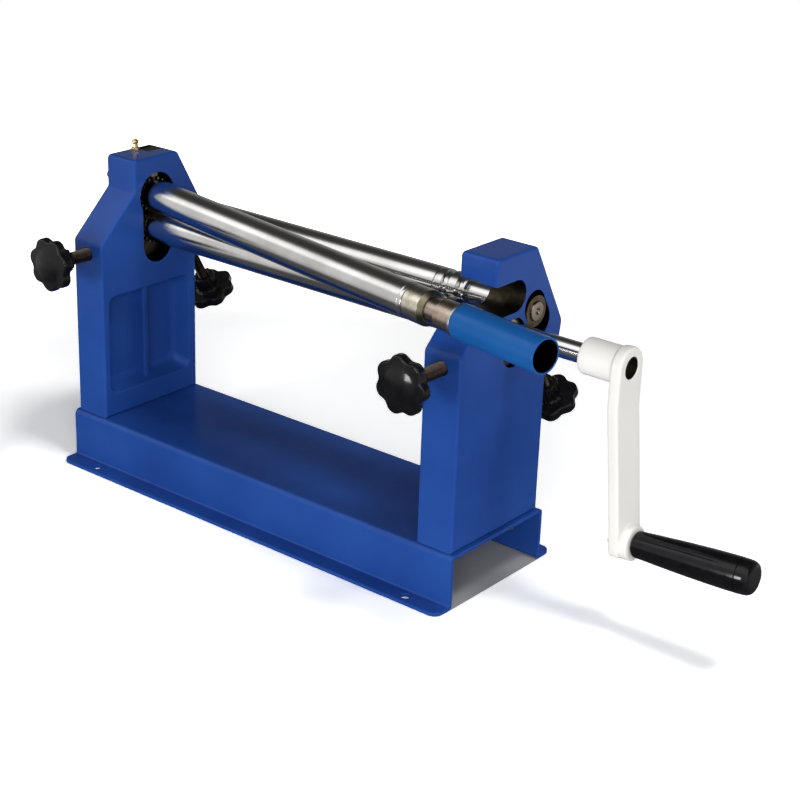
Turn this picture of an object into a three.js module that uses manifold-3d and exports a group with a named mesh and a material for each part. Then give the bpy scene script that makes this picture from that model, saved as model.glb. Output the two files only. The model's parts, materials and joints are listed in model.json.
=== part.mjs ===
// Slip roll machine for sheet metal: a bench tool that curls thin sheet between three rolls.
// Units are millimetres. +X runs along the rolls to the crank, +Y to the back, +Z up.
// The lower roll is cranked and drives the upper roll by a gear pair in the left frame. Front screws lift
// the lower roll by wedges, rear screws push the rear roll up a slanted slot. The upper roll swings out to
// the front about an upright pin, so that a finished ring can be slid off: the model shows it swung out.
import * as THREE from "three";
import { mergeVertices } from "three/addons/utils/BufferGeometryUtils.js";
import Module from "manifold-3d";

const wasm = await Module();
wasm.setup();

// Base: one bent sheet, open below, with a foot along the front and the back
const baseLength = 380;
const baseWidth = 107.6;
const baseHeight = 41;
const baseSheet = 3;
const baseBend = 4;
const footWidth = 14.7;
const footCorner = 7;
const footHole = 4;
const footHoleInset = 33;

// Frames: two castings that stand on the base
const frameThickness = 31;
const frameInset = 2.5;
const frameFront = -51;
const frameBack = 49.5;
const headRoof = 30.8;
const headHeight = 24.6;
const shoulderDrop = 34.9;
const frameEdge = 2;
const headFront = -15;
const headBack = 31.3;
const bossDrop = 14.1;
const bossHeight = 12.3;
const bossBack = 64.5;

// Recess in each frame's inner face, with one upright rib
const recessFront = -44;
const recessBack = 41;
const recessBottom = 60;
const recessTop = 139.5;
const recessDepth = 14;
const recessDraft = 5;
const recessCorner = 7;
const ribMiddle = -0.3;
const ribThickness = 5.5;
const ribDrop = 6;

// Rolls
const rollRadius = 12.5;
const rollGap = 0.5;
const pinchY = 8.5;
const lowerRollZ = 186.7;
const rearRollY = 33.6;
const rearRollRise = 9.2;
const rollEndClearance = 1;
const lowerRollShort = 18;
const rearRollShort = 23.5;
const journalRadius = 7;
const rearLeftJournal = 6;
const smallGroove = 3.2;
const middleGroove = 6.4;
const largeGroove = 6.2;
const smallGrooveDepth = 1.6;
const middleGrooveDepth = 3;
const largeGrooveDepth = 4;
const smallGrooveInset = 51.5;
const middleGrooveInset = 44.5;
const largeGrooveInset = 31.7;

// Gears at the left end
const gearTeeth = 20;
const gearWidth = 5;
const gearInset = 2.7;
const gearAddendum = 1.1;
const gearDedendum = 1.3;
const toothAtTip = 0.8;
const toothAtRoot = 1.8;
const keySize = 3;

// Openings in the left frame's inner face
const gearRoomPlay = 3.95;
const lowerRoomPlay = 1.15;
const lowerRoomDrop = 28.7;
const gearRoomBack = 2.9;

// Swing of the upper roll, in degrees from its closed place
const swingAngle = 10.3;
const swingPin = 2.5;
const eyeRadius = 4.3;
const eyeThickness = 3.2;
const carrierRadius = 11.5;
const carrierLength = 15.2;
const carrierBush = 9;
const pinRoof = 3;

// Right end of the upper roll, by its places along the closed roll
const collarInset = 7.2;
const collarLength = 18.7;
const collarChamfer = 3;
const neckRadius = 8.75;
const neckInset = 9.5;
const seatBushRadius = 10.5;
const seatBushShown = 6.3;
const plugFlange = 2;
const plugLength = 20;
const tubeRadius = 12.2;
const tubeWall = 1.4;
const tubeLength = 75.8;
const seatRoof = 11.8;
const seatDepth = 13.5;

// Lower bearings, their slots and the wedges that lift them
const blockHalfWidth = 11.85;
const blockRise = 10.3;
const lowerBush = 9;
const wedgeSlope = 0.4;
const wedgeLength = 22.5;
const wedgeFront = -2;
const wedgeTopDrop = 10.8;
const wedgeFloorDrop = 24.7;
const wedgeTravel = 3;
const rightInnerWall = 3;
const rightOuterWall = 2.5;

// Rear bearings in their slanted slots
const slotAngle = 60;
const rearTravelUp = 4.7;
const rearTravelDown = 9;
const rearBushRight = 11.4;
const rearBushLeft = 9.5;
const rearInnerWall = 10;

// Adjusting screws and star knobs
const frontScrew = 5;
const frontScrewDrop = 12.9;
const frontScrewLength = 82;
const frontKnobFace = { left: -93.2, right: -97.8 };
const neckOfTip = 3;
const tipThickness = 2.2;
const neckLength = 2.2;
const rearScrew = 4;
const rearScrewEnd = 87;
const rearKnobFace = 101.3;
const knobRadius = 20.8;
const knobThickness = 10;
const knobEdge = 1.6;
const knobLobes = 7;
const fluteDepth = 2.4;
const hubRadius = 9;
const hubLength = 12.5;
const hubRibs = 14;
const hubRibHeight = 0.8;
const flutePhase = { frontLeft: 25, frontRight: 42, rearLeft: 10, rearRight: 35 };

// Crank and its grip
const shaftShown = 58.5;
const crankHubLength = 35;
const crankHubRadius = 12.8;
const crankReach = 121.7;
const crankArmRadius = 14.3;
const crankArmThickness = 8.3;
const crankBossRadius = 12.3;
const crankUpperBend = 26.7;
const crankLowerBend = 10;
const crankOffset = 8.6;
const crankBendRadius = 20;
const shaftEndInset = 11;
const crankBore = 7.6;
const gripTilt = 3.4;
const gripStart = 5.5;
const gripLength = 89;
const gripSmallRadius = 9.1;
const gripLargeRadius = 12;
const gripCapLength = 10;
const axleRadius = 4;

// Fasteners and fittings
const frameBolt = 5;
const frameBoltY = 30;
const frameBoltGrip = 14;
const boltHeadHeight = 6.4;
const boltAcrossFlats = 17;
const washerRadius = 10;
const washerThickness = 2;
const coverThickness = 2;
const coverFront = -11.2;
const coverBack = 51;
const coverTopInset = 14;
const coverBottomInset = 8;
const coverScrew = 2;
const coverScrewLength = 9;
const nippleInset = 7.5;
const nippleShank = 3;
const nippleDepth = 5.5;

// Clearances
const seam = 0.2;
const running = 0.06;
const slide = 0.15;

// Facets round a full circle
const fine = 24;
const coarse = 12;

// Places that follow from the sizes above
const frameOuter = baseLength / 2 - frameInset;
const frameInner = frameOuter - frameThickness;
const frameMiddle = (frameOuter + frameInner) / 2;
const frameBottom = baseHeight + seam;
const upperRollZ = lowerRollZ + 2 * rollRadius + rollGap;
const frameTop = upperRollZ + headRoof;
const headShoulder = frameTop - headHeight;
const shoulderHeight = headShoulder - shoulderDrop;
const rearRollZ = lowerRollZ + rearRollRise;
const bossTop = rearRollZ - bossDrop;
const bossBottom = bossTop - bossHeight;
const lowerRollEnd = frameInner - lowerRollShort;
const rearRollEnd = frameInner - rearRollShort;
const collarStart = frameInner - collarInset;
const collarEnd = collarStart + collarLength;
const upperRollEnd = collarStart - 0.3;
const neckEnd = frameOuter - neckInset;
const seatBushEnd = frameOuter + seatBushShown;
const seatTop = upperRollZ + seatRoof;
const wedgeTopAtAxis = lowerRollZ - wedgeTopDrop;
const wedgeFloor = lowerRollZ - wedgeFloorDrop;
const frontScrewZ = lowerRollZ - frontScrewDrop;
const crankInner = frameOuter + shaftShown;
const crankOuter = crankInner + crankHubLength;
const crankArmInner = crankOuter - crankArmThickness;
const shaftEnd = crankOuter - shaftEndInset;
const nippleX = -frameOuter + nippleInset;
const nippleStart = frameTop - nippleDepth;
const coverTop = frameTop - coverTopInset;
const coverBottom = wedgeFloor - coverBottomInset;
const wireGrooves = [
  { from: frameInner - smallGrooveInset, width: smallGroove, depth: smallGrooveDepth },
  { from: frameInner - middleGrooveInset, width: middleGroove, depth: middleGrooveDepth },
  { from: frameInner - largeGrooveInset, width: largeGroove, depth: largeGrooveDepth },
];
const gearPitch = (upperRollZ - lowerRollZ) / 2;
const gearTip = gearPitch + gearAddendum;
const gearRoot = gearPitch - gearDedendum;
const gearRoom = gearTip + gearRoomPlay;
const lowerRoom = gearTip + lowerRoomPlay;
const gearRoomDepth = gearInset + gearWidth + gearRoomBack;
const gearRight = -frameInner - gearInset;
const gearMiddle = gearRight - gearWidth / 2;
const gearLeft = gearRight - gearWidth;
const roomEnd = -frameInner - gearRoomDepth;
const coverInner = -frameOuter - seam;
const slotHalfWidth = blockHalfWidth + slide;
const blockTop = lowerRollZ + blockRise;
const slotTop = blockTop + seam;
const seatBottom = upperRollZ - seatBushRadius - slide;
const slotUp = new THREE.Vector3(
  0,
  -Math.cos(THREE.MathUtils.degToRad(slotAngle)),
  Math.sin(THREE.MathUtils.degToRad(slotAngle)),
);
const footMiddle = baseWidth / 2 + footWidth / 2;

// Solids
function toSolid(geometry) {
  const source = geometry.index ? geometry.toNonIndexed() : geometry;
  const bare = new THREE.BufferGeometry().setAttribute("position", source.getAttribute("position"));
  const merged = mergeVertices(bare, 1e-4);
  return new wasm.Manifold(
    new wasm.Mesh({
      numProp: 3,
      vertProperties: merged.getAttribute("position").array,
      triVerts: new Uint32Array(merged.index.array),
    }),
  );
}

function toGeometry(solid) {
  const made = solid.getMesh();
  const geometry = new THREE.BufferGeometry()
    .setAttribute("position", new THREE.BufferAttribute(new Float32Array(made.vertProperties), 3))
    .setIndex(new THREE.BufferAttribute(new Uint32Array(made.triVerts), 1));
  const flat = geometry.toNonIndexed();
  flat.computeVertexNormals();
  return flat;
}

const join = (first, ...others) => others.reduce((a, b) => a.add(b), first);
const cut = (first, ...others) => others.reduce((a, b) => a.subtract(b), first);

// Radius of a faceted hole whose flats clear a shaft of the given radius
const bore = (radius, clearance = running, facets = fine) =>
  (radius + clearance) / Math.cos(Math.PI / facets);

// Round bar between two points
function bar(radius, from, to, facets = fine) {
  const start = new THREE.Vector3(...from);
  const end = new THREE.Vector3(...to);
  const geometry = new THREE.CylinderGeometry(radius, radius, start.distanceTo(end), facets);
  const turn = new THREE.Quaternion().setFromUnitVectors(
    new THREE.Vector3(0, 1, 0),
    end.clone().sub(start).normalize(),
  );
  geometry.applyQuaternion(turn);
  geometry.translate(...start.add(end).multiplyScalar(0.5).toArray());
  return toSolid(geometry);
}

const barX = (radius, x0, x1, y, z, facets = fine) => bar(radius, [x0, y, z], [x1, y, z], facets);

function block(x0, x1, y0, y1, z0, z1) {
  const geometry = new THREE.BoxGeometry(x1 - x0, y1 - y0, z1 - z0);
  return toSolid(geometry.translate((x0 + x1) / 2, (y0 + y1) / 2, (z0 + z1) / 2));
}

// Turned piece: outline of [place along the axis, radius], closed or from axis to axis
function turned(outline, facets = fine) {
  const geometry = new THREE.LatheGeometry(
    outline.map(([place, radius]) => new THREE.Vector2(radius, place)),
    facets,
  );
  return geometry;
}

// Turned piece with its axis along X through (y, z)
function turnedX(outline, y, z, facets = fine) {
  const geometry = turned(outline, facets).rotateZ(-Math.PI / 2);
  return toSolid(geometry.translate(0, y, z));
}

const ringX = (outer, inner, x0, x1, y, z, facets = fine) =>
  turnedX([[x0, inner], [x0, outer], [x1, outer], [x1, inner], [x0, inner]], y, z, facets);

// Outline of [a, b, corner radius]
function outlineOf(points) {
  const shape = new THREE.Shape();
  points.forEach(([a, b, radius = 0], i) => {
    const corner = new THREE.Vector2(a, b);
    const before = new THREE.Vector2(...points[(i + points.length - 1) % points.length]);
    const after = new THREE.Vector2(...points[(i + 1) % points.length]);
    const back = before.sub(corner).normalize();
    const ahead = after.sub(corner).normalize();
    const reach = radius / Math.tan(Math.acos(back.dot(ahead)) / 2);
    const start = corner.clone().addScaledVector(back, reach);
    const end = corner.clone().addScaledVector(ahead, reach);
    if (i === 0) shape.moveTo(start.x, start.y);
    else shape.lineTo(start.x, start.y);
    if (radius) shape.quadraticCurveTo(a, b, end.x, end.y);
  });
  shape.closePath();
  return shape;
}

// Slot outline: two half circles about (a0, b0) and (a1, b1)
function slotOutline(a0, b0, a1, b1, radius, facets = fine) {
  const along = Math.atan2(b1 - b0, a1 - a0);
  const shape = new THREE.Shape();
  const half = facets / 2;
  for (let i = 0; i <= half; i++) {
    const angle = along + Math.PI / 2 + (Math.PI * i) / half;
    const point = [a0 + radius * Math.cos(angle), b0 + radius * Math.sin(angle)];
    if (i === 0) shape.moveTo(...point);
    else shape.lineTo(...point);
  }
  for (let i = 0; i <= half; i++) {
    const angle = along - Math.PI / 2 + (Math.PI * i) / half;
    shape.lineTo(a1 + radius * Math.cos(angle), b1 + radius * Math.sin(angle));
  }
  return shape;
}

const toYZ = new THREE.Matrix4().makeBasis(
  new THREE.Vector3(0, 1, 0),
  new THREE.Vector3(0, 0, 1),
  new THREE.Vector3(1, 0, 0),
);
const toXZ = new THREE.Matrix4().makeBasis(
  new THREE.Vector3(1, 0, 0),
  new THREE.Vector3(0, 0, 1),
  new THREE.Vector3(0, -1, 0),
);

// Prism along X of an outline in Y and Z, its edges rounded where edge is given
function prismX(shape, x0, x1, edge = 0) {
  const geometry = new THREE.ExtrudeGeometry(shape, {
    depth: x1 - x0 - 2 * edge,
    bevelEnabled: edge > 0,
    bevelThickness: edge,
    bevelSize: edge,
    bevelOffset: -edge,
    bevelSegments: 2,
    curveSegments: 3,
  });
  return toSolid(geometry.translate(0, 0, x0 + edge).applyMatrix4(toYZ));
}

// Prism along Z of an outline in X and Y
function prismZ(shape, z0, z1) {
  const geometry = new THREE.ExtrudeGeometry(shape, {
    depth: z1 - z0,
    bevelEnabled: false,
    curveSegments: 4,
  });
  return toSolid(geometry.translate(0, 0, z0));
}

// Prism along Y of an outline in X and Z
function prismY(shape, y0, y1) {
  const geometry = new THREE.ExtrudeGeometry(shape, {
    depth: y1 - y0,
    bevelEnabled: false,
    curveSegments: 4,
  });
  return toSolid(geometry.applyMatrix4(toXZ).translate(0, y1, 0));
}

// Materials
const paint = (color, roughness) => new THREE.MeshStandardMaterial({ color, roughness, metalness: 0 });
const metal = (color, roughness) => new THREE.MeshStandardMaterial({ color, roughness, metalness: 1 });
const blueEnamel = paint(0x1f4aa0, 0.25);
const tubeEnamel = paint(0x1f66b0, 0.3);
const whiteEnamel = paint(0xe8e8e4, 0.35);
const blackPlastic = paint(0x141416, 0.3);
const polishedSteel = metal(0xc8c8c8, 0.15);
const plainSteel = metal(0x9a9a98, 0.4);
const darkSteel = metal(0x4a4a4c, 0.5);
const castIron = metal(0x6d6248, 0.55);
const bronze = metal(0xa5885c, 0.4);
const brass = metal(0xc8a24a, 0.35);

function piece(group, name, solid, material) {
  const mesh = new THREE.Mesh(toGeometry(solid), material);
  mesh.name = name;
  group.add(mesh);
  return mesh;
}

// Base
function baseChannel() {
  const half = baseWidth / 2;
  const inside = half - baseSheet;
  const foot = half + footWidth;
  const inner = baseBend - baseSheet + 0.5;
  const profile = outlineOf([
    [-foot, 0],
    [-inside, 0, baseBend - 0.5],
    [-inside, baseHeight - baseSheet, inner],
    [inside, baseHeight - baseSheet, inner],
    [inside, 0, baseBend - 0.5],
    [foot, 0],
    [foot, baseSheet],
    [half, baseSheet, inner],
    [half, baseHeight, baseBend],
    [-half, baseHeight, baseBend],
    [-half, baseSheet, inner],
    [-foot, baseSheet],
  ]);
  const end = baseLength / 2;
  const plan = outlineOf([
    [-end, -foot, footCorner],
    [end, -foot, footCorner],
    [end, foot, footCorner],
    [-end, foot, footCorner],
  ]);
  let base = prismX(profile, -end, end).intersect(prismZ(plan, -1, baseHeight + 1));
  for (const side of [-1, 1]) {
    for (const row of [-1, 1]) {
      const x = side * (end - footHoleInset);
      const footY = row * footMiddle;
      base = cut(base, bar(footHole, [x, footY, -1], [x, footY, baseSheet + 1], coarse));
      const boltX = side * frameMiddle;
      const boltY = row * frameBoltY;
      const hole = bore(frameBolt, seam, coarse);
      const below = baseHeight - 2 * baseSheet;
      base = cut(base, bar(hole, [boltX, boltY, below], [boltX, boltY, baseHeight + 1], coarse));
    }
  }
  return base;
}

// Outline of a frame seen along X
function frameOutline() {
  const slope = -slotUp.z / slotUp.y;
  const slopeY = headBack + (frameTop - bossTop) / slope;
  const face = slotUp.y / slotUp.z;
  const faceZ = bossBottom + (bossBack - frameBack) * face;
  return outlineOf([
    [frameFront, frameBottom],
    [frameBack, frameBottom],
    [frameBack, faceZ, 2],
    [bossBack, bossBottom, 3],
    [slopeY, bossTop, 6],
    [headBack, frameTop, 5],
    [headFront, frameTop, 3],
    [headFront, headShoulder, 3],
    [frameFront, shoulderHeight, 3],
  ]);
}

// Recess with sloping walls on a frame's inner face; side is -1 for the left frame and 1 for the right
function frameRecess(side) {
  const floor = outlineOf([
    [recessFront + recessDraft, recessBottom + recessDraft, recessCorner],
    [recessBack - recessDraft, recessBottom + recessDraft, recessCorner],
    [recessBack - recessDraft, recessTop - recessDraft, recessCorner],
    [recessFront + recessDraft, recessTop - recessDraft, recessCorner],
  ]);
  const middle = 1;
  const geometry = new THREE.ExtrudeGeometry(floor, {
    depth: middle,
    bevelEnabled: true,
    bevelThickness: recessDepth,
    bevelSize: recessDraft,
    bevelSegments: 1,
    curveSegments: 4,
  });
  geometry.applyMatrix4(toYZ);
  return toSolid(geometry.translate(side * frameInner - (side > 0 ? middle : 0), 0, 0));
}

function frameRib(side) {
  const near = side * (frameInner + ribDrop);
  const far = side * (frameInner + recessDepth + 1);
  return block(
    Math.min(near, far),
    Math.max(near, far),
    ribMiddle - ribThickness / 2,
    ribMiddle + ribThickness / 2,
    recessBottom - 1,
    recessTop + 1,
  );
}

// Point on the rear roll's slanted line, down from the roll's axis by the given length
const alongSlot = (x, down) => [x, rearRollY - slotUp.y * down, rearRollZ - slotUp.z * down];

function rearSlot(radius, x0, x1) {
  const [, upY, upZ] = alongSlot(0, -rearTravelUp);
  const [, downY, downZ] = alongSlot(0, rearTravelDown);
  return prismX(slotOutline(upY, upZ, downY, downZ, radius), x0, x1);
}

const lowerTravel = wedgeTravel * wedgeSlope;
const wedgeTop = (y) => wedgeTopAtAxis - wedgeSlope * (y - pinchY);
const wedgeRoomTop = wedgeTop(wedgeFront) + 1;

// Places of the lower bearings along X
const blockPlaces = {
  left: [gearLeft - 1.4 - 17.4, gearLeft - 1.4],
  right: [frameInner + rightInnerWall + 0.4, frameOuter - rightOuterWall - 0.4],
};

// Slot of a lower bearing with the wider room of its wedge below, which may stop short of the slot
function lowerSlot(x0, x1, roomEnd = x1) {
  const top = slotTop - slotHalfWidth;
  const room = lowerRoom;
  return join(
    prismX(slotOutline(pinchY, top, pinchY, wedgeFloor + slotHalfWidth, slotHalfWidth), x0, x1),
    block(x0, roomEnd, pinchY - room, pinchY + room, wedgeFloor, wedgeRoomTop),
  );
}

const boltHole = (x, y) =>
  bar(
    bore(frameBolt, seam, coarse),
    [x, y, frameBottom - 1],
    [x, y, frameBottom + frameBoltGrip + 1],
    coarse,
  );

// What both castings share: body, recess, rib and the threaded holes
function frameCasting(side) {
  const x0 = side > 0 ? frameInner : -frameOuter;
  const x1 = side > 0 ? frameOuter : -frameInner;
  const body = prismX(frameOutline(), x0, x1, frameEdge);
  const screw = side * frameMiddle;
  return cut(
    join(cut(body, frameRecess(side)), frameRib(side)),
    bar(
      bore(frontScrew, slide, coarse),
      [screw, frameFront - 1, frontScrewZ],
      [screw, pinchY - lowerRoom + 1, frontScrewZ],
      coarse,
    ),
    bar(
      bore(rearScrew, slide, coarse),
      alongSlot(screw, rearTravelDown),
      alongSlot(screw, rearScrewEnd / 2 + 2),
      coarse,
    ),
    boltHole(side * frameMiddle, frameBoltY),
    boltHole(side * frameMiddle, -frameBoltY),
  );
}

// Swing: the carrier turns about an upright pin over the middle of the gears
const pivot = new THREE.Vector3(gearMiddle, pinchY, upperRollZ);
const swing = THREE.MathUtils.degToRad(swingAngle);
const carrierRight = gearLeft - 1.1;
const carrierLeft = carrierRight - carrierLength;
const carrierShift = (gearMiddle - carrierLeft) * Math.sin(swing);
const eyeBottom = upperRollZ + gearTip + 0.5;
const eyeTop = eyeBottom + eyeThickness;
const riserLength = 4;
const pinTop = frameTop - pinRoof;

const coverScrewPlaces = [
  [coverFront + 4.2, coverBottom + 4.5],
  [coverFront + 4.2, coverTop - 4],
  [coverBack - 24, coverTop - 4],
  [coverBack - 14, coverBottom + 6],
];
const coverHole = (place, radius, x0, x1) => barX(radius, x0, x1, place[0], place[1], coarse);

function leftFrame() {
  const openSide = -frameOuter - 1;
  const face = -frameInner + 1;
  const wall = -frameInner - rearInnerWall;
  const riserRoom = 9.5;
  const greaseHole = 1.5;
  const topMark = { x0: -frameOuter + 1.5, x1: -frameMiddle + 1, y0: 13, y1: headBack - 0.3, depth: 1.2 };
  return cut(
    frameCasting(-1),
    barX(gearRoom, roomEnd, face, pinchY, upperRollZ),
    prismX(
      slotOutline(pinchY, upperRollZ, pinchY, lowerRollZ - lowerRoomDrop + lowerRoom, lowerRoom),
      roomEnd,
      face,
    ),
    block(
      carrierRight - riserLength - 1.6,
      gearMiddle + eyeRadius + slide,
      pinchY - riserRoom,
      pinchY + riserRoom,
      upperRollZ,
      eyeTop + seam,
    ),
    prismX(
      slotOutline(pinchY, upperRollZ, pinchY + carrierShift, upperRollZ, bore(carrierRadius, slide)),
      openSide,
      roomEnd + 1,
    ),
    lowerSlot(openSide, blockPlaces.left[1] + seam),
    rearSlot(rearLeftJournal + 0.6, wall - 1, face),
    rearSlot(bore(rearBushLeft, slide), openSide, wall),
    bar(bore(swingPin), [gearMiddle, pinchY, eyeTop], [gearMiddle, pinchY, pinTop + 0.5]),
    bar(
      bore(nippleShank, slide, coarse),
      [nippleX, pinchY, nippleStart - 1.5],
      [nippleX, pinchY, frameTop + 1],
      coarse,
    ),
    bar(greaseHole, [nippleX, pinchY, upperRollZ], [nippleX, pinchY, nippleStart], coarse),
    block(topMark.x0, topMark.x1, topMark.y0, topMark.y1, frameTop - topMark.depth, frameTop + 1),
    ...coverScrewPlaces.map((place) =>
      coverHole(place, bore(coverScrew, slide, coarse), openSide, -frameOuter + coverScrewLength),
    ),
  );
}

function rightFrame() {
  const openSide = frameOuter + 1;
  const face = frameInner - 1;
  const inFront = frameFront - 2 * rollRadius;
  const seatInner = frameOuter - seatDepth;
  const seatRadius = (seatTop - seatBottom) / 2;
  const collarRoom = rollRadius + 0.4;
  return cut(
    frameCasting(1),
    lowerSlot(frameInner + rightInnerWall, openSide, frameOuter - rightOuterWall),
    prismX(
      slotOutline(pinchY, lowerRollZ, pinchY, lowerRollZ - lowerTravel, journalRadius + 0.6),
      face,
      frameInner + rightInnerWall + 1,
    ),
    rearSlot(bore(rearBushRight, slide), face, openSide),
    prismX(
      slotOutline(inFront, seatTop - seatRadius, pinchY, seatTop - seatRadius, seatRadius),
      seatInner - 1,
      openSide,
    ),
    prismX(slotOutline(inFront, upperRollZ, pinchY, upperRollZ, collarRoom), face, seatInner),
  );
}

function hexagon(acrossFlats) {
  const shape = new THREE.Shape();
  const corner = acrossFlats / Math.sqrt(3);
  for (let i = 0; i < 6; i++) {
    const angle = (Math.PI / 3) * i;
    const point = [corner * Math.cos(angle), corner * Math.sin(angle)];
    if (i === 0) shape.moveTo(...point);
    else shape.lineTo(...point);
  }
  return shape;
}

// Hexagon bolt from below, its head at the lower end
function frameBoltSolid() {
  const top = frameBottom + frameBoltGrip;
  const seat = baseHeight - baseSheet - washerThickness - 2 * seam;
  return join(
    prismZ(hexagon(boltAcrossFlats), seat - boltHeadHeight, seat),
    bar(frameBolt, [0, 0, seat - 1], [0, 0, top], coarse),
  );
}

function frameWasher() {
  const top = baseHeight - baseSheet - seam;
  return cut(
    bar(washerRadius, [0, 0, top - washerThickness], [0, 0, top], coarse),
    bar(bore(frameBolt, seam, coarse), [0, 0, top - washerThickness - 1], [0, 0, top + 1], coarse),
  );
}

function coverPlate() {
  const outline = outlineOf([
    [coverFront, coverBottom, 4],
    [coverBack - 15, coverBottom, 6],
    [coverBack, coverBottom + 13, 5],
    [coverBack, coverTop - 37, 5],
    [coverBack - 19, coverTop, 4],
    [coverFront + 1.5, coverTop, 4],
  ]);
  const outer = coverInner - coverThickness;
  return cut(
    prismX(outline, outer, coverInner),
    ...coverScrewPlaces.map((place) =>
      coverHole(place, bore(coverScrew, slide, coarse), outer - 1, coverInner + 1),
    ),
  );
}

function coverScrewSolid([y, z]) {
  const outer = coverInner - coverThickness;
  const headRadius = 2 * coverScrew;
  const headHeight = 1.1 * coverScrew;
  const socket = 0.6 * coverScrew;
  return cut(
    join(
      barX(headRadius, outer - seam - headHeight, outer - seam, y, z, coarse),
      barX(coverScrew, outer - 1, -frameOuter + coverScrewLength - 1, y, z, coarse),
    ),
    barX(socket * 1.2, outer - seam - headHeight - 1, outer - seam - headHeight / 2, y, z, 6),
  );
}

function greaseNipple() {
  const seat = frameTop + seam;
  const geometry = turned(
    [
      [nippleStart, 0],
      [nippleStart, nippleShank],
      [seat, nippleShank],
      [seat, 3.6],
      [seat + 2.6, 3.6],
      [seat + 3.2, 2.1],
      [seat + 5.6, 1.8],
      [seat + 6.4, 2.7],
      [seat + 7.8, 2.5],
      [seat + 8.6, 1.2],
      [seat + 8.6, 0],
    ],
    coarse,
  );
  return toSolid(geometry.rotateX(Math.PI / 2).translate(nippleX, pinchY, 0));
}

// Carrier that holds the upper roll's left journal and swings on the pin
function swivelCarrier() {
  const tongueEnd = carrierRight - riserLength;
  return cut(
    join(
      barX(carrierRadius, carrierLeft, carrierRight, pinchY, upperRollZ),
      block(
        tongueEnd,
        carrierRight,
        pinchY - eyeRadius,
        pinchY + eyeRadius,
        upperRollZ + carrierBush,
        eyeTop,
      ),
      block(tongueEnd, gearMiddle, pinchY - eyeRadius, pinchY + eyeRadius, eyeBottom, eyeTop),
      bar(eyeRadius, [gearMiddle, pinchY, eyeBottom], [gearMiddle, pinchY, eyeTop], coarse),
    ),
    barX(bore(carrierBush, slide), carrierLeft - 1, carrierRight + 1, pinchY, upperRollZ),
    bar(bore(swingPin), [gearMiddle, pinchY, eyeBottom - 1], [gearMiddle, pinchY, eyeTop + 1]),
  );
}

// Round-bottomed wire groove in a roll's outline
function grooveOutline({ from, width, depth }) {
  const steps = 4;
  return Array.from({ length: steps + 1 }, (_, i) => [
    from + (width * (1 - Math.cos((Math.PI * i) / steps))) / 2,
    rollRadius - depth * Math.sin((Math.PI * i) / steps),
  ]);
}

// Left journal with the groove of its retaining ring, from its end to the roll's shoulder
const ringWidth = 1.2;
const ringGrooveDepth = 0.7;
const shoulderRadius = 9;
function leftJournal(end, ringPlace, radius = journalRadius) {
  return [
    [end, 0],
    [end, radius - 0.6],
    [end + 0.6, radius],
    [ringPlace - slide, radius],
    [ringPlace - slide, radius - ringGrooveDepth],
    [ringPlace + ringWidth + slide, radius - ringGrooveDepth],
    [ringPlace + ringWidth + slide, radius],
  ];
}

function retainingRing(place, z) {
  const mouth = 3;
  return cut(
    ringX(journalRadius + 2, journalRadius - ringGrooveDepth + slide, place, place + ringWidth, pinchY, z),
    block(place - 1, place + ringWidth + 1, pinchY - mouth / 2, pinchY + mouth / 2, z - 2 * rollRadius, z),
  );
}

const keySeat = journalRadius - keySize * 0.6;
function keyRoom(z) {
  const half = keySize / 2 + slide;
  const top = z + keySeat + keySize + slide;
  return block(gearLeft - slide, gearRight + slide, pinchY - half, pinchY + half, z + keySeat - slide, top);
}
const gearKey = (z) =>
  block(
    gearLeft,
    gearRight,
    pinchY - keySize / 2,
    pinchY + keySize / 2,
    z + keySeat,
    z + keySeat + keySize,
  );

// Gear in the middle plane of the swing; phase 0 puts a tooth at +Y, 0.5 a space
function gear(z, phase) {
  const shape = new THREE.Shape();
  const step = (2 * Math.PI) / gearTeeth;
  for (let i = 0; i < gearTeeth; i++) {
    const middle = (i + phase) * step;
    const corners = [
      [gearRoot, -toothAtRoot / 2],
      [gearTip, -toothAtTip / 2],
      [gearTip, toothAtTip / 2],
      [gearRoot, toothAtRoot / 2],
    ];
    corners.forEach(([radius, across], j) => {
      const angle = middle + across / radius;
      const point = [pinchY + radius * Math.cos(angle), z + radius * Math.sin(angle)];
      if (i === 0 && j === 0) shape.moveTo(...point);
      else shape.lineTo(...point);
    });
  }
  return cut(
    prismX(shape, gearLeft, gearRight),
    barX(bore(journalRadius), gearLeft - 1, gearRight + 1, pinchY, z),
    keyRoom(z),
  );
}

const upperRingPlace = carrierLeft - 0.4 - ringWidth;
const plugStart = seatBushEnd + 0.4;
const plugBody = tubeRadius - tubeWall - slide;
const plugEnd = plugStart + plugFlange + plugLength;
const tubeStart = plugStart + plugFlange + seam;
const handleWasher = { radius: 9, thickness: 2 };
const handleThread = 3;

function upperRoll() {
  const start = -frameInner - rollEndClearance;
  return cut(
    turnedX(
      [
        ...leftJournal(upperRingPlace - 1.8, upperRingPlace),
        [gearRight + 0.1, journalRadius],
        [gearRight + 0.1, shoulderRadius],
        [start, shoulderRadius],
        [start, rollRadius - 0.8],
        [start + 0.8, rollRadius],
        [upperRollEnd - 4, rollRadius],
        [upperRollEnd - 3.4, rollRadius - 0.5],
        [upperRollEnd - 2.8, rollRadius],
        [upperRollEnd, rollRadius],
        [upperRollEnd, neckRadius],
        [neckEnd, neckRadius],
        [neckEnd, journalRadius],
        [plugEnd - seam, journalRadius],
        [plugEnd - seam, 0],
      ],
      pinchY,
      upperRollZ,
    ),
    keyRoom(upperRollZ),
    barX(bore(handleThread, slide, coarse), plugEnd - 16, plugEnd + 1, pinchY, upperRollZ, coarse),
  );
}

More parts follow.
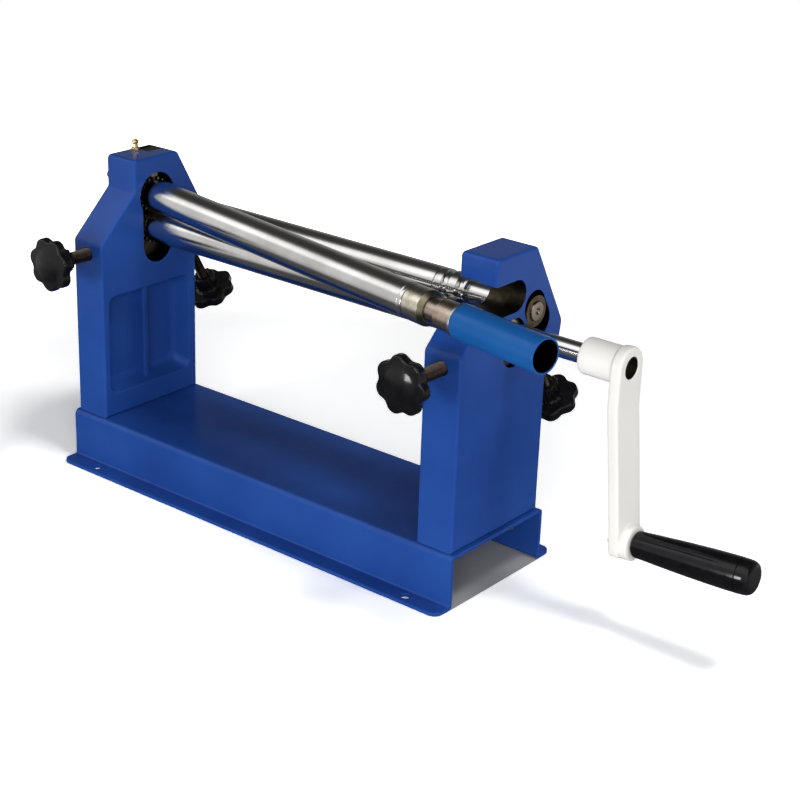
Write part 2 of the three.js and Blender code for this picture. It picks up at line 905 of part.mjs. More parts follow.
const thrustCollar = () =>
  turnedX(
    [
      [collarStart, bore(neckRadius)],
      [collarStart, rollRadius],
      [collarEnd - collarChamfer, rollRadius],
      [collarEnd, rollRadius - collarChamfer],
      [collarEnd, bore(neckRadius)],
      [collarStart, bore(neckRadius)],
    ],
    pinchY,
    upperRollZ,
  );

const seatBush = () =>
  turnedX(
    [
      [neckEnd + seam, bore(journalRadius)],
      [neckEnd + seam, seatBushRadius - 0.8],
      [neckEnd + seam + 0.8, seatBushRadius],
      [seatBushEnd, seatBushRadius],
      [seatBushEnd, bore(journalRadius)],
      [neckEnd + seam, bore(journalRadius)],
    ],
    pinchY,
    upperRollZ,
  );

const tubePlug = () =>
  turnedX(
    [
      [plugStart, bore(journalRadius)],
      [plugStart, tubeRadius],
      [plugStart + plugFlange, tubeRadius],
      [plugStart + plugFlange, plugBody],
      [plugEnd, plugBody],
      [plugEnd, bore(journalRadius)],
      [plugStart, bore(journalRadius)],
    ],
    pinchY,
    upperRollZ,
  );

const handleTube = () =>
  ringX(
    tubeRadius,
    bore(plugBody),
    tubeStart,
    tubeStart + tubeLength,
    pinchY,
    upperRollZ,
  );

const handleWasherSolid = () =>
  ringX(
    handleWasher.radius,
    bore(handleThread, slide, coarse),
    plugEnd + seam,
    plugEnd + seam + handleWasher.thickness,
    pinchY,
    upperRollZ,
    coarse,
  );

function handleScrew() {
  const seat = plugEnd + handleWasher.thickness + 2 * seam;
  const head = 2 * handleThread;
  return cut(
    join(
      barX(handleThread, plugEnd - 15, seat + 1, pinchY, upperRollZ, coarse),
      barX(1.67 * handleThread, seat, seat + head, pinchY, upperRollZ, coarse),
    ),
    barX(handleThread, seat + head / 2, seat + head + 1, pinchY, upperRollZ, 6),
  );
}

// Lower roll with its long right journal, which is the crank shaft
const lowerRingPlace = blockPlaces.left[0] - 0.3 - ringWidth;

function lowerRoll() {
  const start = -frameInner - rollEndClearance;
  return cut(
    turnedX(
      [
        ...leftJournal(lowerRingPlace - 1.6, lowerRingPlace),
        [gearRight + 0.1, journalRadius],
        [gearRight + 0.1, shoulderRadius],
        [start, shoulderRadius],
        [start, rollRadius - 0.8],
        [start + 0.8, rollRadius],
        ...wireGrooves.flatMap(grooveOutline),
        [lowerRollEnd - 0.8, rollRadius],
        [lowerRollEnd, rollRadius - 0.8],
        [lowerRollEnd, shoulderRadius],
        [frameInner - rollEndClearance, shoulderRadius],
        [frameInner - rollEndClearance, journalRadius],
        [shaftEnd - 0.6, journalRadius],
        [shaftEnd, journalRadius - 0.6],
        [shaftEnd, 0],
      ],
      pinchY,
      lowerRollZ,
    ),
    keyRoom(lowerRollZ),
  );
}

function lowerBlock([x0, x1]) {
  const left = pinchY - blockHalfWidth;
  const right = pinchY + blockHalfWidth;
  const outline = new THREE.Shape();
  const centre = blockTop - blockHalfWidth;
  outline.moveTo(left, wedgeTop(left) + seam);
  outline.lineTo(right, wedgeTop(right) + seam);
  const steps = fine / 2;
  for (let i = 0; i <= steps; i++) {
    const angle = (Math.PI * i) / steps;
    outline.lineTo(pinchY + blockHalfWidth * Math.cos(angle), centre + blockHalfWidth * Math.sin(angle));
  }
  return cut(
    prismX(outline, x0, x1),
    barX(bore(lowerBush, slide), x0 - 1, x1 + 1, pinchY, lowerRollZ),
  );
}

const lowerBushSolid = ([x0, x1]) =>
  ringX(lowerBush, bore(journalRadius), x0, x1, pinchY, lowerRollZ);

// Wedge with a T-slot in its front, which holds the screw's button tip
function wedge([x0, x1], side) {
  const back = wedgeFront + wedgeLength;
  const outline = outlineOf([
    [wedgeFront, wedgeFloor + slide],
    [back, wedgeFloor + slide],
    [back, wedgeTop(back)],
    [wedgeFront, wedgeTop(wedgeFront)],
  ]);
  const x = side * frameMiddle;
  const neckHalf = neckOfTip + 2 * slide;
  const tipHalf = frontScrew - 0.8 + 2 * slide;
  const neckBack = wedgeFront + neckLength;
  return cut(
    prismX(outline, x0, x1),
    block(x - neckHalf, x + neckHalf, wedgeFront - 1, neckBack, wedgeFloor - 1, frameTop),
    block(
      x - tipHalf,
      x + tipHalf,
      neckBack - slide,
      neckBack + tipThickness + slide,
      wedgeFloor - 1,
      frameTop,
    ),
  );
}

// Screws and knobs lie along local Y: the tip is at 0 and the knob at negative Y
function frontScrewSolid() {
  const tipRadius = frontScrew - 0.8;
  const neckStart = -tipThickness - neckLength;
  return toSolid(
    turned(
      [
        [-frontScrewLength, 0],
        [-frontScrewLength, frontScrew - 1],
        [-frontScrewLength + 1, frontScrew],
        [neckStart, frontScrew],
        [neckStart, neckOfTip],
        [-tipThickness, neckOfTip],
        [-tipThickness, tipRadius],
        [0, tipRadius],
        [0, 0],
      ],
      coarse,
    ),
  );
}

function rearScrewSolid(length) {
  const dogPoint = 3;
  return toSolid(
    turned(
      [
        [-length, 0],
        [-length, rearScrew - 1],
        [-length + 1, rearScrew],
        [-dogPoint, rearScrew],
        [-dogPoint + 1, rearScrew - 1],
        [0, rearScrew - 1],
        [0, 0],
      ],
      coarse,
    ),
  );
}

function starOutline(phase) {
  const shape = new THREE.Shape();
  const steps = knobLobes * 6;
  for (let i = 0; i < steps; i++) {
    const angle = (2 * Math.PI * i) / steps;
    const flute = 0.5 + 0.5 * Math.cos(knobLobes * (angle - THREE.MathUtils.degToRad(phase)));
    const radius = knobRadius - fluteDepth * flute;
    const point = [radius * Math.cos(angle), radius * Math.sin(angle)];
    if (i === 0) shape.moveTo(...point);
    else shape.lineTo(...point);
  }
  return shape;
}

function ribbedHub() {
  const shape = new THREE.Shape();
  const steps = hubRibs * 2;
  for (let i = 0; i < steps; i++) {
    const angle = (2 * Math.PI * i) / steps;
    const radius = hubRadius - (i % 2 ? hubRibHeight : 0);
    const point = [radius * Math.cos(angle), radius * Math.sin(angle)];
    if (i === 0) shape.moveTo(...point);
    else shape.lineTo(...point);
  }
  return shape;
}

// Star knob whose outer face is at local Y = face, with its hub towards the frame
function starKnob(face, phase, screwRadius, screwEnd) {
  const head = new THREE.ExtrudeGeometry(starOutline(phase), {
    depth: knobThickness - 2 * knobEdge,
    bevelEnabled: true,
    bevelThickness: knobEdge,
    bevelSize: knobEdge,
    bevelOffset: -knobEdge,
    bevelSegments: 2,
  });
  head.applyMatrix4(toXZ).translate(0, face + knobThickness - knobEdge, 0);
  const hubEnd = face + knobThickness + hubLength;
  return cut(
    join(toSolid(head), prismY(ribbedHub(), face + knobThickness - 1, hubEnd)),
    bar(bore(screwRadius, slide, coarse), [0, screwEnd - seam, 0], [0, hubEnd + 1, 0], coarse),
  );
}

// Rear bearings, which slide up and down the slanted slots
const rearPlaces = {
  left: [-frameOuter + 2.5, -frameInner - rearInnerWall - 0.4],
  right: [frameInner + 1, frameOuter - 0.4],
};
const rearBush = ([x0, x1], outer, inner) => ringX(outer, bore(inner), x0, x1, rearRollY, rearRollZ);

function rearRoll() {
  const start = -frameInner + rollEndClearance;
  const end = frameOuter + 0.8;
  const centre = { radius: 2.6, depth: 3 };
  return turnedX(
    [
      [rearPlaces.left[0] + 0.5, 0],
      [rearPlaces.left[0] + 0.5, rearLeftJournal - 0.6],
      [rearPlaces.left[0] + 1.1, rearLeftJournal],
      [start, rearLeftJournal],
      [start, rollRadius - 0.8],
      [start + 0.8, rollRadius],
      ...wireGrooves.flatMap(grooveOutline),
      [rearRollEnd - 0.6, rollRadius],
      [rearRollEnd, rollRadius - 0.6],
      [rearRollEnd, shoulderRadius],
      [frameInner - rollEndClearance, shoulderRadius],
      [frameInner - rollEndClearance, journalRadius],
      [end - 0.6, journalRadius],
      [end, journalRadius - 0.6],
      [end, centre.radius],
      [end - centre.depth, 0],
    ],
    rearRollY,
    rearRollZ,
  );
}

// Crank: hub on the shaft, flat arm bent outwards, and the place of the grip's axle
const crankEndZ = lowerRollZ - crankReach;
const gripAngle = THREE.MathUtils.degToRad(gripTilt);
const crankFoot = crankArmInner + crankOffset + crankLowerBend * Math.tan(gripAngle);
const gripPlace = new THREE.Group();
gripPlace.position.set(crankFoot + crankArmThickness, pinchY, crankEndZ);
gripPlace.rotation.y = -gripAngle;
gripPlace.updateMatrix();

function crankArm() {
  const below = crankEndZ - crankArmRadius - 1;
  const lowerBend = crankEndZ + crankLowerBend;
  const footShift = (lowerBend - below) * Math.tan(gripAngle);
  const upper = lowerRollZ + crankArmRadius + 1;
  const inner = [
    [crankArmInner, upper],
    [crankArmInner, lowerRollZ - crankUpperBend, crankBendRadius],
    [crankArmInner + crankOffset, lowerBend, crankBendRadius],
    [crankArmInner + crankOffset + footShift, below],
  ];
  const outer = inner.map(([x, z, radius]) => [x + crankArmThickness, z, radius]).reverse();
  const front = slotOutline(pinchY, lowerRollZ, pinchY, crankEndZ, crankArmRadius);
  const half = crankArmRadius + 1;
  const arm = prismY(outlineOf([...inner, ...outer]), pinchY - half, pinchY + half);
  const alongGrip = (radius, x0, x1) => {
    const rod = turned([[x0, 0], [x0, radius], [x1, radius], [x1, 0]]).rotateZ(-Math.PI / 2);
    return toSolid(rod.applyMatrix4(gripPlace.matrix));
  };
  return cut(
    join(
      arm.intersect(prismX(front, crankArmInner - 1, crankFoot + 2 * crankArmThickness)),
      barX(crankHubRadius, crankInner, crankOuter, pinchY, lowerRollZ),
      alongGrip(crankBossRadius, -crankArmThickness / 2, gripStart - seam),
    ),
    barX(bore(journalRadius), crankInner - 1, shaftEnd + 1, pinchY, lowerRollZ),
    barX(crankBore, shaftEnd + seam, crankOuter + 1, pinchY, lowerRollZ),
    bar(
      bore(setScrew.radius, slide, coarse),
      [setScrew.x, pinchY + journalRadius - 1, lowerRollZ],
      [setScrew.x, pinchY + crankHubRadius + 1, lowerRollZ],
      coarse,
    ),
    alongGrip(bore(axleRadius), -2 * crankArmThickness, gripStart + 1),
  );
}

const setScrew = { x: crankInner + 10, radius: 3, socket: 1.6 };
function crankSetScrew() {
  const outer = pinchY + crankHubRadius - 0.6;
  return cut(
    bar(
      setScrew.radius,
      [setScrew.x, pinchY + journalRadius + seam, lowerRollZ],
      [setScrew.x, outer, lowerRollZ],
      coarse,
    ),
    bar(setScrew.socket, [setScrew.x, outer - 2.5, lowerRollZ], [setScrew.x, outer + 1, lowerRollZ], 6),
  );
}

// Grip pieces lie along local X from the arm's outer face
const gripEnd = gripStart + gripLength - gripCapLength;
const gripRecess = 7.2;
const axleHead = { radius: 6.2, thickness: 3, inset: 8 };
const axleNut = { acrossFlats: 13, thickness: 4 };

function gripAxle() {
  const back = -crankArmThickness - axleNut.thickness - 1;
  const headStart = gripEnd - axleHead.inset;
  return toSolid(
    turned([
      [back, 0],
      [back, axleRadius],
      [headStart, axleRadius],
      [headStart, axleHead.radius],
      [headStart + axleHead.thickness, axleHead.radius],
      [headStart + axleHead.thickness, 0],
    ]).rotateZ(-Math.PI / 2),
  );
}

function gripAxleNut() {
  const { acrossFlats, thickness } = axleNut;
  const near = -crankArmThickness - seam;
  const nut = toSolid(
    new THREE.ExtrudeGeometry(hexagon(acrossFlats), { depth: thickness, bevelEnabled: false })
      .applyMatrix4(toYZ)
      .translate(near - thickness, 0, 0),
  );
  return cut(nut, barX(bore(axleRadius), near - thickness - 1, near + 1, 0, 0));
}

// Radius of the grip at a part of its length, from the thin end at 0 to the free end at 1
const gripRadius = (part) =>
  gripSmallRadius + (gripLargeRadius - gripSmallRadius) * Math.sin((Math.PI / 2) * Math.min(1, part * 1.15));

function handGrip() {
  const steps = 8;
  const outside = Array.from({ length: steps + 1 }, (_, i) => {
    const part = (i / steps) * ((gripEnd - gripStart) / gripLength);
    return [gripStart + part * gripLength, gripRadius(part)];
  });
  outside[0][1] -= 1.4;
  outside.splice(1, 0, [gripStart + 1.4, gripRadius(0) + 0.1]);
  const recess = gripEnd - axleHead.inset - seam;
  return toSolid(
    turned([
      [gripStart, bore(axleRadius, slide)],
      ...outside,
      [gripEnd, gripRecess],
      [recess, gripRecess],
      [recess, bore(axleRadius, slide)],
      [gripStart, bore(axleRadius, slide)],
    ]).rotateZ(-Math.PI / 2),
  );
}

function gripCap() {
  const start = gripEnd + seam;
  const end = gripStart + gripLength;
  const radius = gripRadius(1);
  const spigot = 4;
  return toSolid(
    turned([
      [gripEnd - spigot, 0],
      [gripEnd - spigot, gripRecess - slide],
      [start, gripRecess - slide],
      [start, radius - 0.7],
      [start + 0.7, radius],
      [end - 3.4, radius - 0.3],
      [end - 1.2, radius - 1.5],
      [end, radius - 4.2],
      [end, 0],
    ]).rotateZ(-Math.PI / 2),
  );
}

// The machine: its middle line is at Y = 0, and the part's origin is under the middle of the front foot
const part = new THREE.Group();
const machine = new THREE.Group();
machine.position.y = footMiddle;
part.add(machine);

piece(machine, "base_channel", baseChannel(), blueEnamel);
piece(machine, "left_frame", leftFrame(), blueEnamel);
piece(machine, "right_frame", rightFrame(), blueEnamel);
for (const [sideName, side] of [["left", -1], ["right", 1]]) {
  for (const [rowName, row] of [["front", -1], ["rear", 1]]) {
    const x = side * frameMiddle;
    const y = row * frameBoltY;
    piece(machine, `frame_bolt_${sideName}_${rowName}`, frameBoltSolid(), plainSteel).position.set(x, y, 0);
    piece(machine, `frame_washer_${sideName}_${rowName}`, frameWasher(), plainSteel).position.set(x, y, 0);
  }
}
piece(machine, "left_cover_plate", coverPlate(), blueEnamel);
coverScrewPlaces.forEach((place, i) =>
  piece(machine, `cover_screw_${i + 1}`, coverScrewSolid(place), darkSteel),
);
piece(
  machine,
  "swing_pin",
  bar(swingPin, [gearMiddle, pinchY, eyeBottom + seam], [gearMiddle, pinchY, pinTop]),
  plainSteel,
);
piece(machine, "grease_nipple", greaseNipple(), brass);

// Upper roll, swung out to the front about the pin
const swung = new THREE.Group();
swung.position.copy(pivot);
swung.rotation.z = -swing;
const closed = new THREE.Group();
closed.position.copy(pivot).negate();
swung.add(closed);
machine.add(swung);
piece(closed, "swivel_carrier", swivelCarrier(), castIron);
piece(
  closed,
  "carrier_bush",
  ringX(carrierBush, bore(journalRadius), carrierLeft, carrierRight, pinchY, upperRollZ),
  bronze,
);
piece(closed, "seat_bush", seatBush(), bronze);
piece(closed, "upper_roll", upperRoll(), polishedSteel);
piece(closed, "upper_gear", gear(upperRollZ, 0), darkSteel);
piece(closed, "upper_gear_key", gearKey(upperRollZ), plainSteel);
piece(closed, "upper_retaining_ring", retainingRing(upperRingPlace, upperRollZ), plainSteel);
piece(closed, "thrust_collar", thrustCollar(), castIron);
piece(closed, "tube_plug", tubePlug(), plainSteel);
piece(closed, "handle_tube", handleTube(), tubeEnamel);
piece(closed, "handle_washer", handleWasherSolid(), plainSteel);
piece(closed, "handle_screw", handleScrew(), darkSteel);

// Lower roll, its bearings and the crank
for (const [sideName, side] of [["left", -1], ["right", 1]]) {
  const places = blockPlaces[sideName];
  piece(machine, `lower_block_${sideName}`, lowerBlock(places), castIron);
  piece(machine, `lower_bush_${sideName}`, lowerBushSolid(places), bronze);
  piece(machine, `wedge_${sideName}`, wedge(places, side), darkSteel);
}
piece(machine, "lower_roll", lowerRoll(), polishedSteel);
piece(machine, "lower_gear", gear(lowerRollZ, 0.5), darkSteel);
piece(machine, "lower_gear_key", gearKey(lowerRollZ), plainSteel);
piece(machine, "lower_retaining_ring", retainingRing(lowerRingPlace, lowerRollZ), plainSteel);
piece(machine, "crank_arm", crankArm(), whiteEnamel);
piece(machine, "crank_set_screw", crankSetScrew(), darkSteel);
machine.add(gripPlace);
piece(gripPlace, "grip_axle", gripAxle(), plainSteel);
piece(gripPlace, "grip_axle_nut", gripAxleNut(), plainSteel);
piece(gripPlace, "hand_grip", handGrip(), blackPlastic);
piece(gripPlace, "grip_cap", gripCap(), blackPlastic);

// Rear roll and its bearings
piece(machine, "rear_roll", rearRoll(), polishedSteel);
piece(machine, "rear_bush_left", rearBush(rearPlaces.left, rearBushLeft, rearLeftJournal), bronze);
piece(machine, "rear_bush_right", rearBush(rearPlaces.right, rearBushRight, journalRadius), bronze);

// Adjusting screws with their star knobs
for (const [sideName, side] of [["left", -1], ["right", 1]]) {
  const front = new THREE.Group();
  const tip = wedgeFront + neckLength + tipThickness;
  front.position.set(side * frameMiddle, tip, frontScrewZ);
  machine.add(front);
  piece(front, `front_screw_${sideName}`, frontScrewSolid(), darkSteel);
  const frontPhase = sideName === "left" ? flutePhase.frontLeft : flutePhase.frontRight;
  piece(
    front,
    `front_knob_${sideName}`,
    starKnob(frontKnobFace[sideName] - tip, frontPhase, frontScrew, -frontScrewLength),
    blackPlastic,
  );

  const rear = new THREE.Group();
  const bushRadius = sideName === "left" ? rearBushLeft : rearBushRight;
  const start = bushRadius + seam;
  rear.position.set(...alongSlot(side * frameMiddle, start));
  rear.rotation.x = Math.atan2(slotUp.z, slotUp.y);
  machine.add(rear);
  const length = rearScrewEnd - start;
  piece(rear, `rear_screw_${sideName}`, rearScrewSolid(length), darkSteel);
  const rearPhase = sideName === "left" ? flutePhase.rearLeft : flutePhase.rearRight;
  piece(
    rear,
    `rear_knob_${sideName}`,
    starKnob(start - rearKnobFace, rearPhase, rearScrew, -length),
    blackPlastic,
  );
}

export default part;
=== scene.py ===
# %% [markdown]
# # A slip roll machine, dressed for its portrait
# A slip roll curls sheet metal between three steel rolls. The solids, sizes and joints come from a
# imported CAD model. This lesson gives them fine surfaces and real finishes, one piece at a time.
# The CAD model stays the frame: nothing of it is moved, and each fine piece takes its place.

# %% Load the frame
import json
import math

import bmesh
import bpy
from mathutils import Matrix, Vector


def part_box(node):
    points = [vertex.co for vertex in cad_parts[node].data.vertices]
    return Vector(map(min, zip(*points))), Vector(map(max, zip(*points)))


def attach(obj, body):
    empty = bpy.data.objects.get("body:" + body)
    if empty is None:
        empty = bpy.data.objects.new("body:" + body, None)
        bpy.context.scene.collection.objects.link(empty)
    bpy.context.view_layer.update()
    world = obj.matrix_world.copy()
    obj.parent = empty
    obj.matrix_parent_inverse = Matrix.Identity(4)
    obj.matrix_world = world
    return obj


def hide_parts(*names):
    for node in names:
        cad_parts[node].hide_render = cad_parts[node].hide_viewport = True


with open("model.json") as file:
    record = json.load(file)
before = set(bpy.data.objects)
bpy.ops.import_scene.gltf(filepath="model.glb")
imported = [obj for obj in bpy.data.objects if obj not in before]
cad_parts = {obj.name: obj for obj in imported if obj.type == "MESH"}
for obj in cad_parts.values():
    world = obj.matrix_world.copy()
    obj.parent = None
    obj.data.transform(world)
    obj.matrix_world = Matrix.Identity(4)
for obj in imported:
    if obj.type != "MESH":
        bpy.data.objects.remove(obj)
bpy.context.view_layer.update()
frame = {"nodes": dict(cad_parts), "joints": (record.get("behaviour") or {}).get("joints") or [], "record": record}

# %% [markdown]
# ## Places
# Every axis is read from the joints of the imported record, and the ends of the castings from their
# boxes, so the fine pieces stay where the CAD says. A piece is built in millimetres along its own
# X axis, and a matrix puts it in place. That keeps turning marks in line with the piece's own axis.

# %% Places read from the frame
MM = 0.001
joints = {joint["name"]: joint for joint in frame["joints"]}
mounts = {mount["name"]: mount for mount in frame["record"]["mounts"]}


def shift(x, y, z):
    """Matrix that moves by millimetres."""
    return Matrix.Translation(Vector((x, y, z)) * MM)


def joint_place(name):
    """Matrix that moves to a joint's place."""
    return Matrix.Translation(joints[name]["pos_m"])


MIDDLE_Y = mounts["rear_foot"]["pos_m"][1] / 2 / MM
MACHINE = shift(0, MIDDLE_Y, 0)
BASE_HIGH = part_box("base_channel")[1] / MM
INNER, OUTER = (corner.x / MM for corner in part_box("right_frame"))
FRAME_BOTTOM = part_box("right_frame")[0].z / MM
FRAME_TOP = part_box("right_frame")[1].z / MM

pivot = Vector(joints["upper_roll_swing"]["pos_m"])
rolled_out = Vector(joints["upper_roll_turn"]["axis"])
swing = math.atan2(rolled_out.y, rolled_out.x)
UPPER = Matrix.Translation(pivot) @ Matrix.Rotation(swing, 4, "Z") @ Matrix.Translation((-pivot.x, 0, 0))
LOWER = joint_place("crank_turn")
REAR = joint_place("rear_roll_turn")
grip_axis = Vector(joints["hand_grip_turn"]["axis"])
GRIP = joint_place("hand_grip_turn") @ Matrix.Rotation(math.atan2(-grip_axis.z, grip_axis.x), 4, "Y")

ROLL_RADIUS = (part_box("rear_roll")[1].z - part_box("rear_roll")[0].z) / 2 / MM
PINCH_Y = LOWER.translation.y / MM - MIDDLE_Y
LOWER_Z = LOWER.translation.z / MM
UPPER_Z = pivot.z / MM
REAR_Y = REAR.translation.y / MM - MIDDLE_Y
REAR_Z = REAR.translation.z / MM
print(f"swing {math.degrees(swing):.1f} degrees, rolls of {2 * ROLL_RADIUS:.0f} mm")

# %% [markdown]
# ## Outlines with round corners
# Machined and cast pieces hardly ever have a knife edge. One helper turns a list of corners with
# radii into points, with true arcs. Both the turned pieces and the castings use it. Circles and
# obrounds, which are slots with round ends, are the outlines of holes.

# %% Rounded corners
HALF_STEPS = 24


def rounded(corners, closed=False, step=12):
    """Points of a line through corners (a, b) or (a, b, radius), with an arc at each radius."""
    points = []
    count = len(corners)
    for i, corner in enumerate(corners):
        here = Vector(corner[:2])
        radius = corner[2] if len(corner) > 2 else 0
        if not radius or (not closed and i in (0, count - 1)):
            points.append(here)
            continue
        back = (Vector(corners[i - 1][:2]) - here).normalized()
        ahead = (Vector(corners[(i + 1) % count][:2]) - here).normalized()
        half = back.angle(ahead) / 2
        centre = here + (back + ahead).normalized() * (radius / math.sin(half))
        start = here + back * (radius / math.tan(half)) - centre
        turn = start.angle_signed(here + ahead * (radius / math.tan(half)) - centre)
        steps = max(2, round(abs(math.degrees(turn)) / step))
        for k in range(steps + 1):
            spin = Matrix.Rotation(-turn * k / steps, 2)
            points.append(centre + spin @ start)
    return points


def circle(a, b, radius, sides=64):
    """Points of a circle about (a, b)."""
    angles = [2 * math.pi * i / sides for i in range(sides)]
    return [Vector((a + radius * math.cos(t), b + radius * math.sin(t))) for t in angles]


def obround(a0, b0, a1, b1, radius):
    """Two half circles about two centres, joined by straight sides."""
    along = math.atan2(b1 - b0, a1 - a0)
    points = []
    for a, b, start in ((a0, b0, along + math.pi / 2), (a1, b1, along - math.pi / 2)):
        for i in range(HALF_STEPS + 1):
            t = start + math.pi * i / HALF_STEPS
            points.append(Vector((a + radius * math.cos(t), b + radius * math.sin(t))))
    return points


corner = rounded([(0, 0), (10, 0, 2), (10, 10)])
print("a square corner rounded by 2 mm has", len(corner) - 2, "points")

# %% [markdown]
# ## From outlines to meshes
# A turned piece is an outline spun about its axis, as on a lathe. A cast block is an outline
# pushed through its thickness, whose rims roll over in a few rings. Both are rings of points with
# faces between them, so one helper skins them all. Curves and modifiers could make them as well,
# but points that are worked out land exactly on the record's sizes.


# %% Points to a mesh
def make(name, vertices, faces, place=None):
    """Object of millimetre points, with its faces turned outwards."""
    mesh = bpy.data.meshes.new(name)
    mesh.from_pydata([Vector(v) * MM for v in vertices], [], faces)
    work = bmesh.new()
    work.from_mesh(mesh)
    bmesh.ops.recalc_face_normals(work, faces=work.faces)
    work.to_mesh(mesh)
    work.free()
    made = bpy.data.objects.new(name, mesh)
    bpy.context.scene.collection.objects.link(made)
    made.matrix_world = place or MACHINE
    return made


def skin(rings, closed=False):
    """Faces between rings of vertex numbers; a ring of one is a pole."""
    faces = []
    pairs = list(zip(rings, rings[1:])) + ([(rings[-1], rings[0])] if closed else [])
    for one, two in pairs:
        sides = max(len(one), len(two))
        for i in range(sides):
            j = (i + 1) % sides
            face = [one[i % len(one)], one[j % len(one)], two[j % len(two)], two[i % len(two)]]
            faces.append(list(dict.fromkeys(face)))
    return faces


# %% Turned pieces
def turned(name, outline, place, sides=96, closed=False):
    """Lathe work along X: an outline of (place, radius), where a radius may be a function."""
    vertices, rings = [], []
    for along, radius in outline:
        reach = radius if callable(radius) else (lambda t, r=radius: r)
        count = 1 if radius == 0 else sides
        rings.append(list(range(len(vertices), len(vertices) + count)))
        for i in range(count):
            t = 2 * math.pi * i / sides
            vertices.append((along, reach(t) * math.cos(t), reach(t) * math.sin(t)))
    return make(name, vertices, skin(rings, closed), place)


def lathe(name, corners, place, sides=96, closed=False):
    """Lathe work from corners (place, radius) or (place, radius, rounding)."""
    outline = [tuple(point) for point in rounded(corners, closed, 30)]
    return turned(name, outline, place, sides, closed)


# %% Pushed outlines
SAME_POINT = 1e-4


def inset(points, depth):
    """A closed outline drawn in by a depth, point by point."""
    drawn = []
    for i, here in enumerate(points):
        one = (here - points[i - 1]).normalized()
        two = (points[(i + 1) % len(points)] - here).normalized()
        normal = Vector((-one.y - two.y, one.x + two.x)).normalized()
        stretch = max(0.5, normal.dot(Vector((-one.y, one.x))))
        drawn.append(here + normal * depth / stretch)
    return drawn


def slab(name, points, low, high, rim=0.0, steps=4, turn="X", place=None):
    """A counter-clockwise outline pushed along X, Y or Z, its two rims rounded."""
    points = [p for i, p in enumerate(points) if (p - points[i - 1]).length > SAME_POINT]
    levels = []
    if rim:
        for k in range(steps + 1):
            t = math.pi / 2 * k / steps
            levels.append((rim * (1 - math.sin(t)), rim * (1 - math.cos(t))))
    else:
        levels.append((0, 0))
    rings = [(low + rise, drawn) for drawn, rise in levels]
    rings += [(high - rise, drawn) for drawn, rise in reversed(levels)]
    to_space = {
        "X": lambda along, p: (along, p.x, p.y),
        "Y": lambda along, p: (p.x, along, p.y),
        "Z": lambda along, p: (p.x, p.y, along),
    }[turn]
    vertices, loops = [], []
    for along, drawn in rings:
        loops.append(list(range(len(vertices), len(vertices) + len(points))))
        vertices += [to_space(along, p) for p in inset(points, drawn)]
    return make(name, vertices, skin(loops) + [loops[0], loops[-1][::-1]], place)


# %% [markdown]
# Cuts are booleans between closed meshes, as a mill cuts a casting. They leave knife edges, which a
# narrow bevel breaks. Then the surface gets smooth normals up to a sharp angle, weighted by area,
# so that large flat faces stay flat beside their bevels.


# %% Cuts, bevels and smooth shading
def carve(body, *cutters, how="DIFFERENCE"):
    """Applies booleans one after another and clears the cutters away."""
    for cutter in cutters:
        modifier = body.modifiers.new("carve", "BOOLEAN")
        modifier.operation = how
        modifier.solver = "MANIFOLD"
        modifier.object = cutter
    apply_all(body)
    body.data.materials.clear()
    for cutter in cutters:
        bpy.data.objects.remove(cutter)
    return body


def apply_all(body):
    """Turns the modifiers' result into the mesh itself."""
    bpy.context.view_layer.update()
    seen = body.evaluated_get(bpy.context.evaluated_depsgraph_get())
    mesh = bpy.data.meshes.new_from_object(seen)
    body.modifiers.clear()
    body.data = mesh


def bevelled(body, angle, width):
    """Rounds the edges that are sharper than the angle."""
    edge = body.modifiers.new("edge", "BEVEL")
    edge.width = width * MM
    edge.segments = 2
    edge.limit_method = "ANGLE"
    edge.angle_limit = math.radians(angle)
    edge.use_clamp_overlap = False
    apply_all(body)
    return body


def smooth(body, angle=35):
    """Shades smooth up to the angle, with flat faces kept flat."""
    body.data.shade_smooth()
    body.data.set_sharp_from_angle(angle=math.radians(angle))
    weighted = body.modifiers.new("weighted", "WEIGHTED_NORMAL")
    weighted.keep_sharp = True
    weighted.weight = 100
    return body


# %% [markdown]
# ## Shader maths as plain sums
# A finish is easier to read as sums than as a web of nodes. A small class wraps a node's output,
# so that `1 - mask * 0.3` adds the Math nodes by itself. Every other node comes from one method.


# %% A socket that can be added and multiplied
class Value:
    """One output of a shader node."""

    def __init__(self, finish, socket):
        self.finish = finish
        self.socket = socket

    def calculate(self, operation, *numbers):
        return self.finish.node("Math", {"operation": operation}, dict(enumerate(numbers)))

    def __add__(self, other):
        return self.calculate("ADD", self, other)

    def __sub__(self, other):
        return self.calculate("SUBTRACT", self, other)

    def __rsub__(self, other):
        return self.calculate("SUBTRACT", other, self)

    def __mul__(self, other):
        return self.calculate("MULTIPLY", self, other)

    def __truediv__(self, other):
        return self.calculate("DIVIDE", self, other)

    def __gt__(self, other):
        return self.calculate("GREATER_THAN", self, other)

    def __abs__(self):
        return self.calculate("ABSOLUTE", self)

    __radd__ = __add__
    __rmul__ = __mul__


# %% [markdown]
# A bump gives a finish its relief. Ground steel needs one thing more: its surface is made of tiny
# facets that tilt a little along the bar, and they draw each mirrored light out along it. A white
# noise, different at every point, tilts the normal along the piece's own X axis. An anisotropic
# shader could do this too, but a tilt of the normal can be baked into a picture for other programs.

# %% A finish
NO_TWO_ALIKE = 1e6


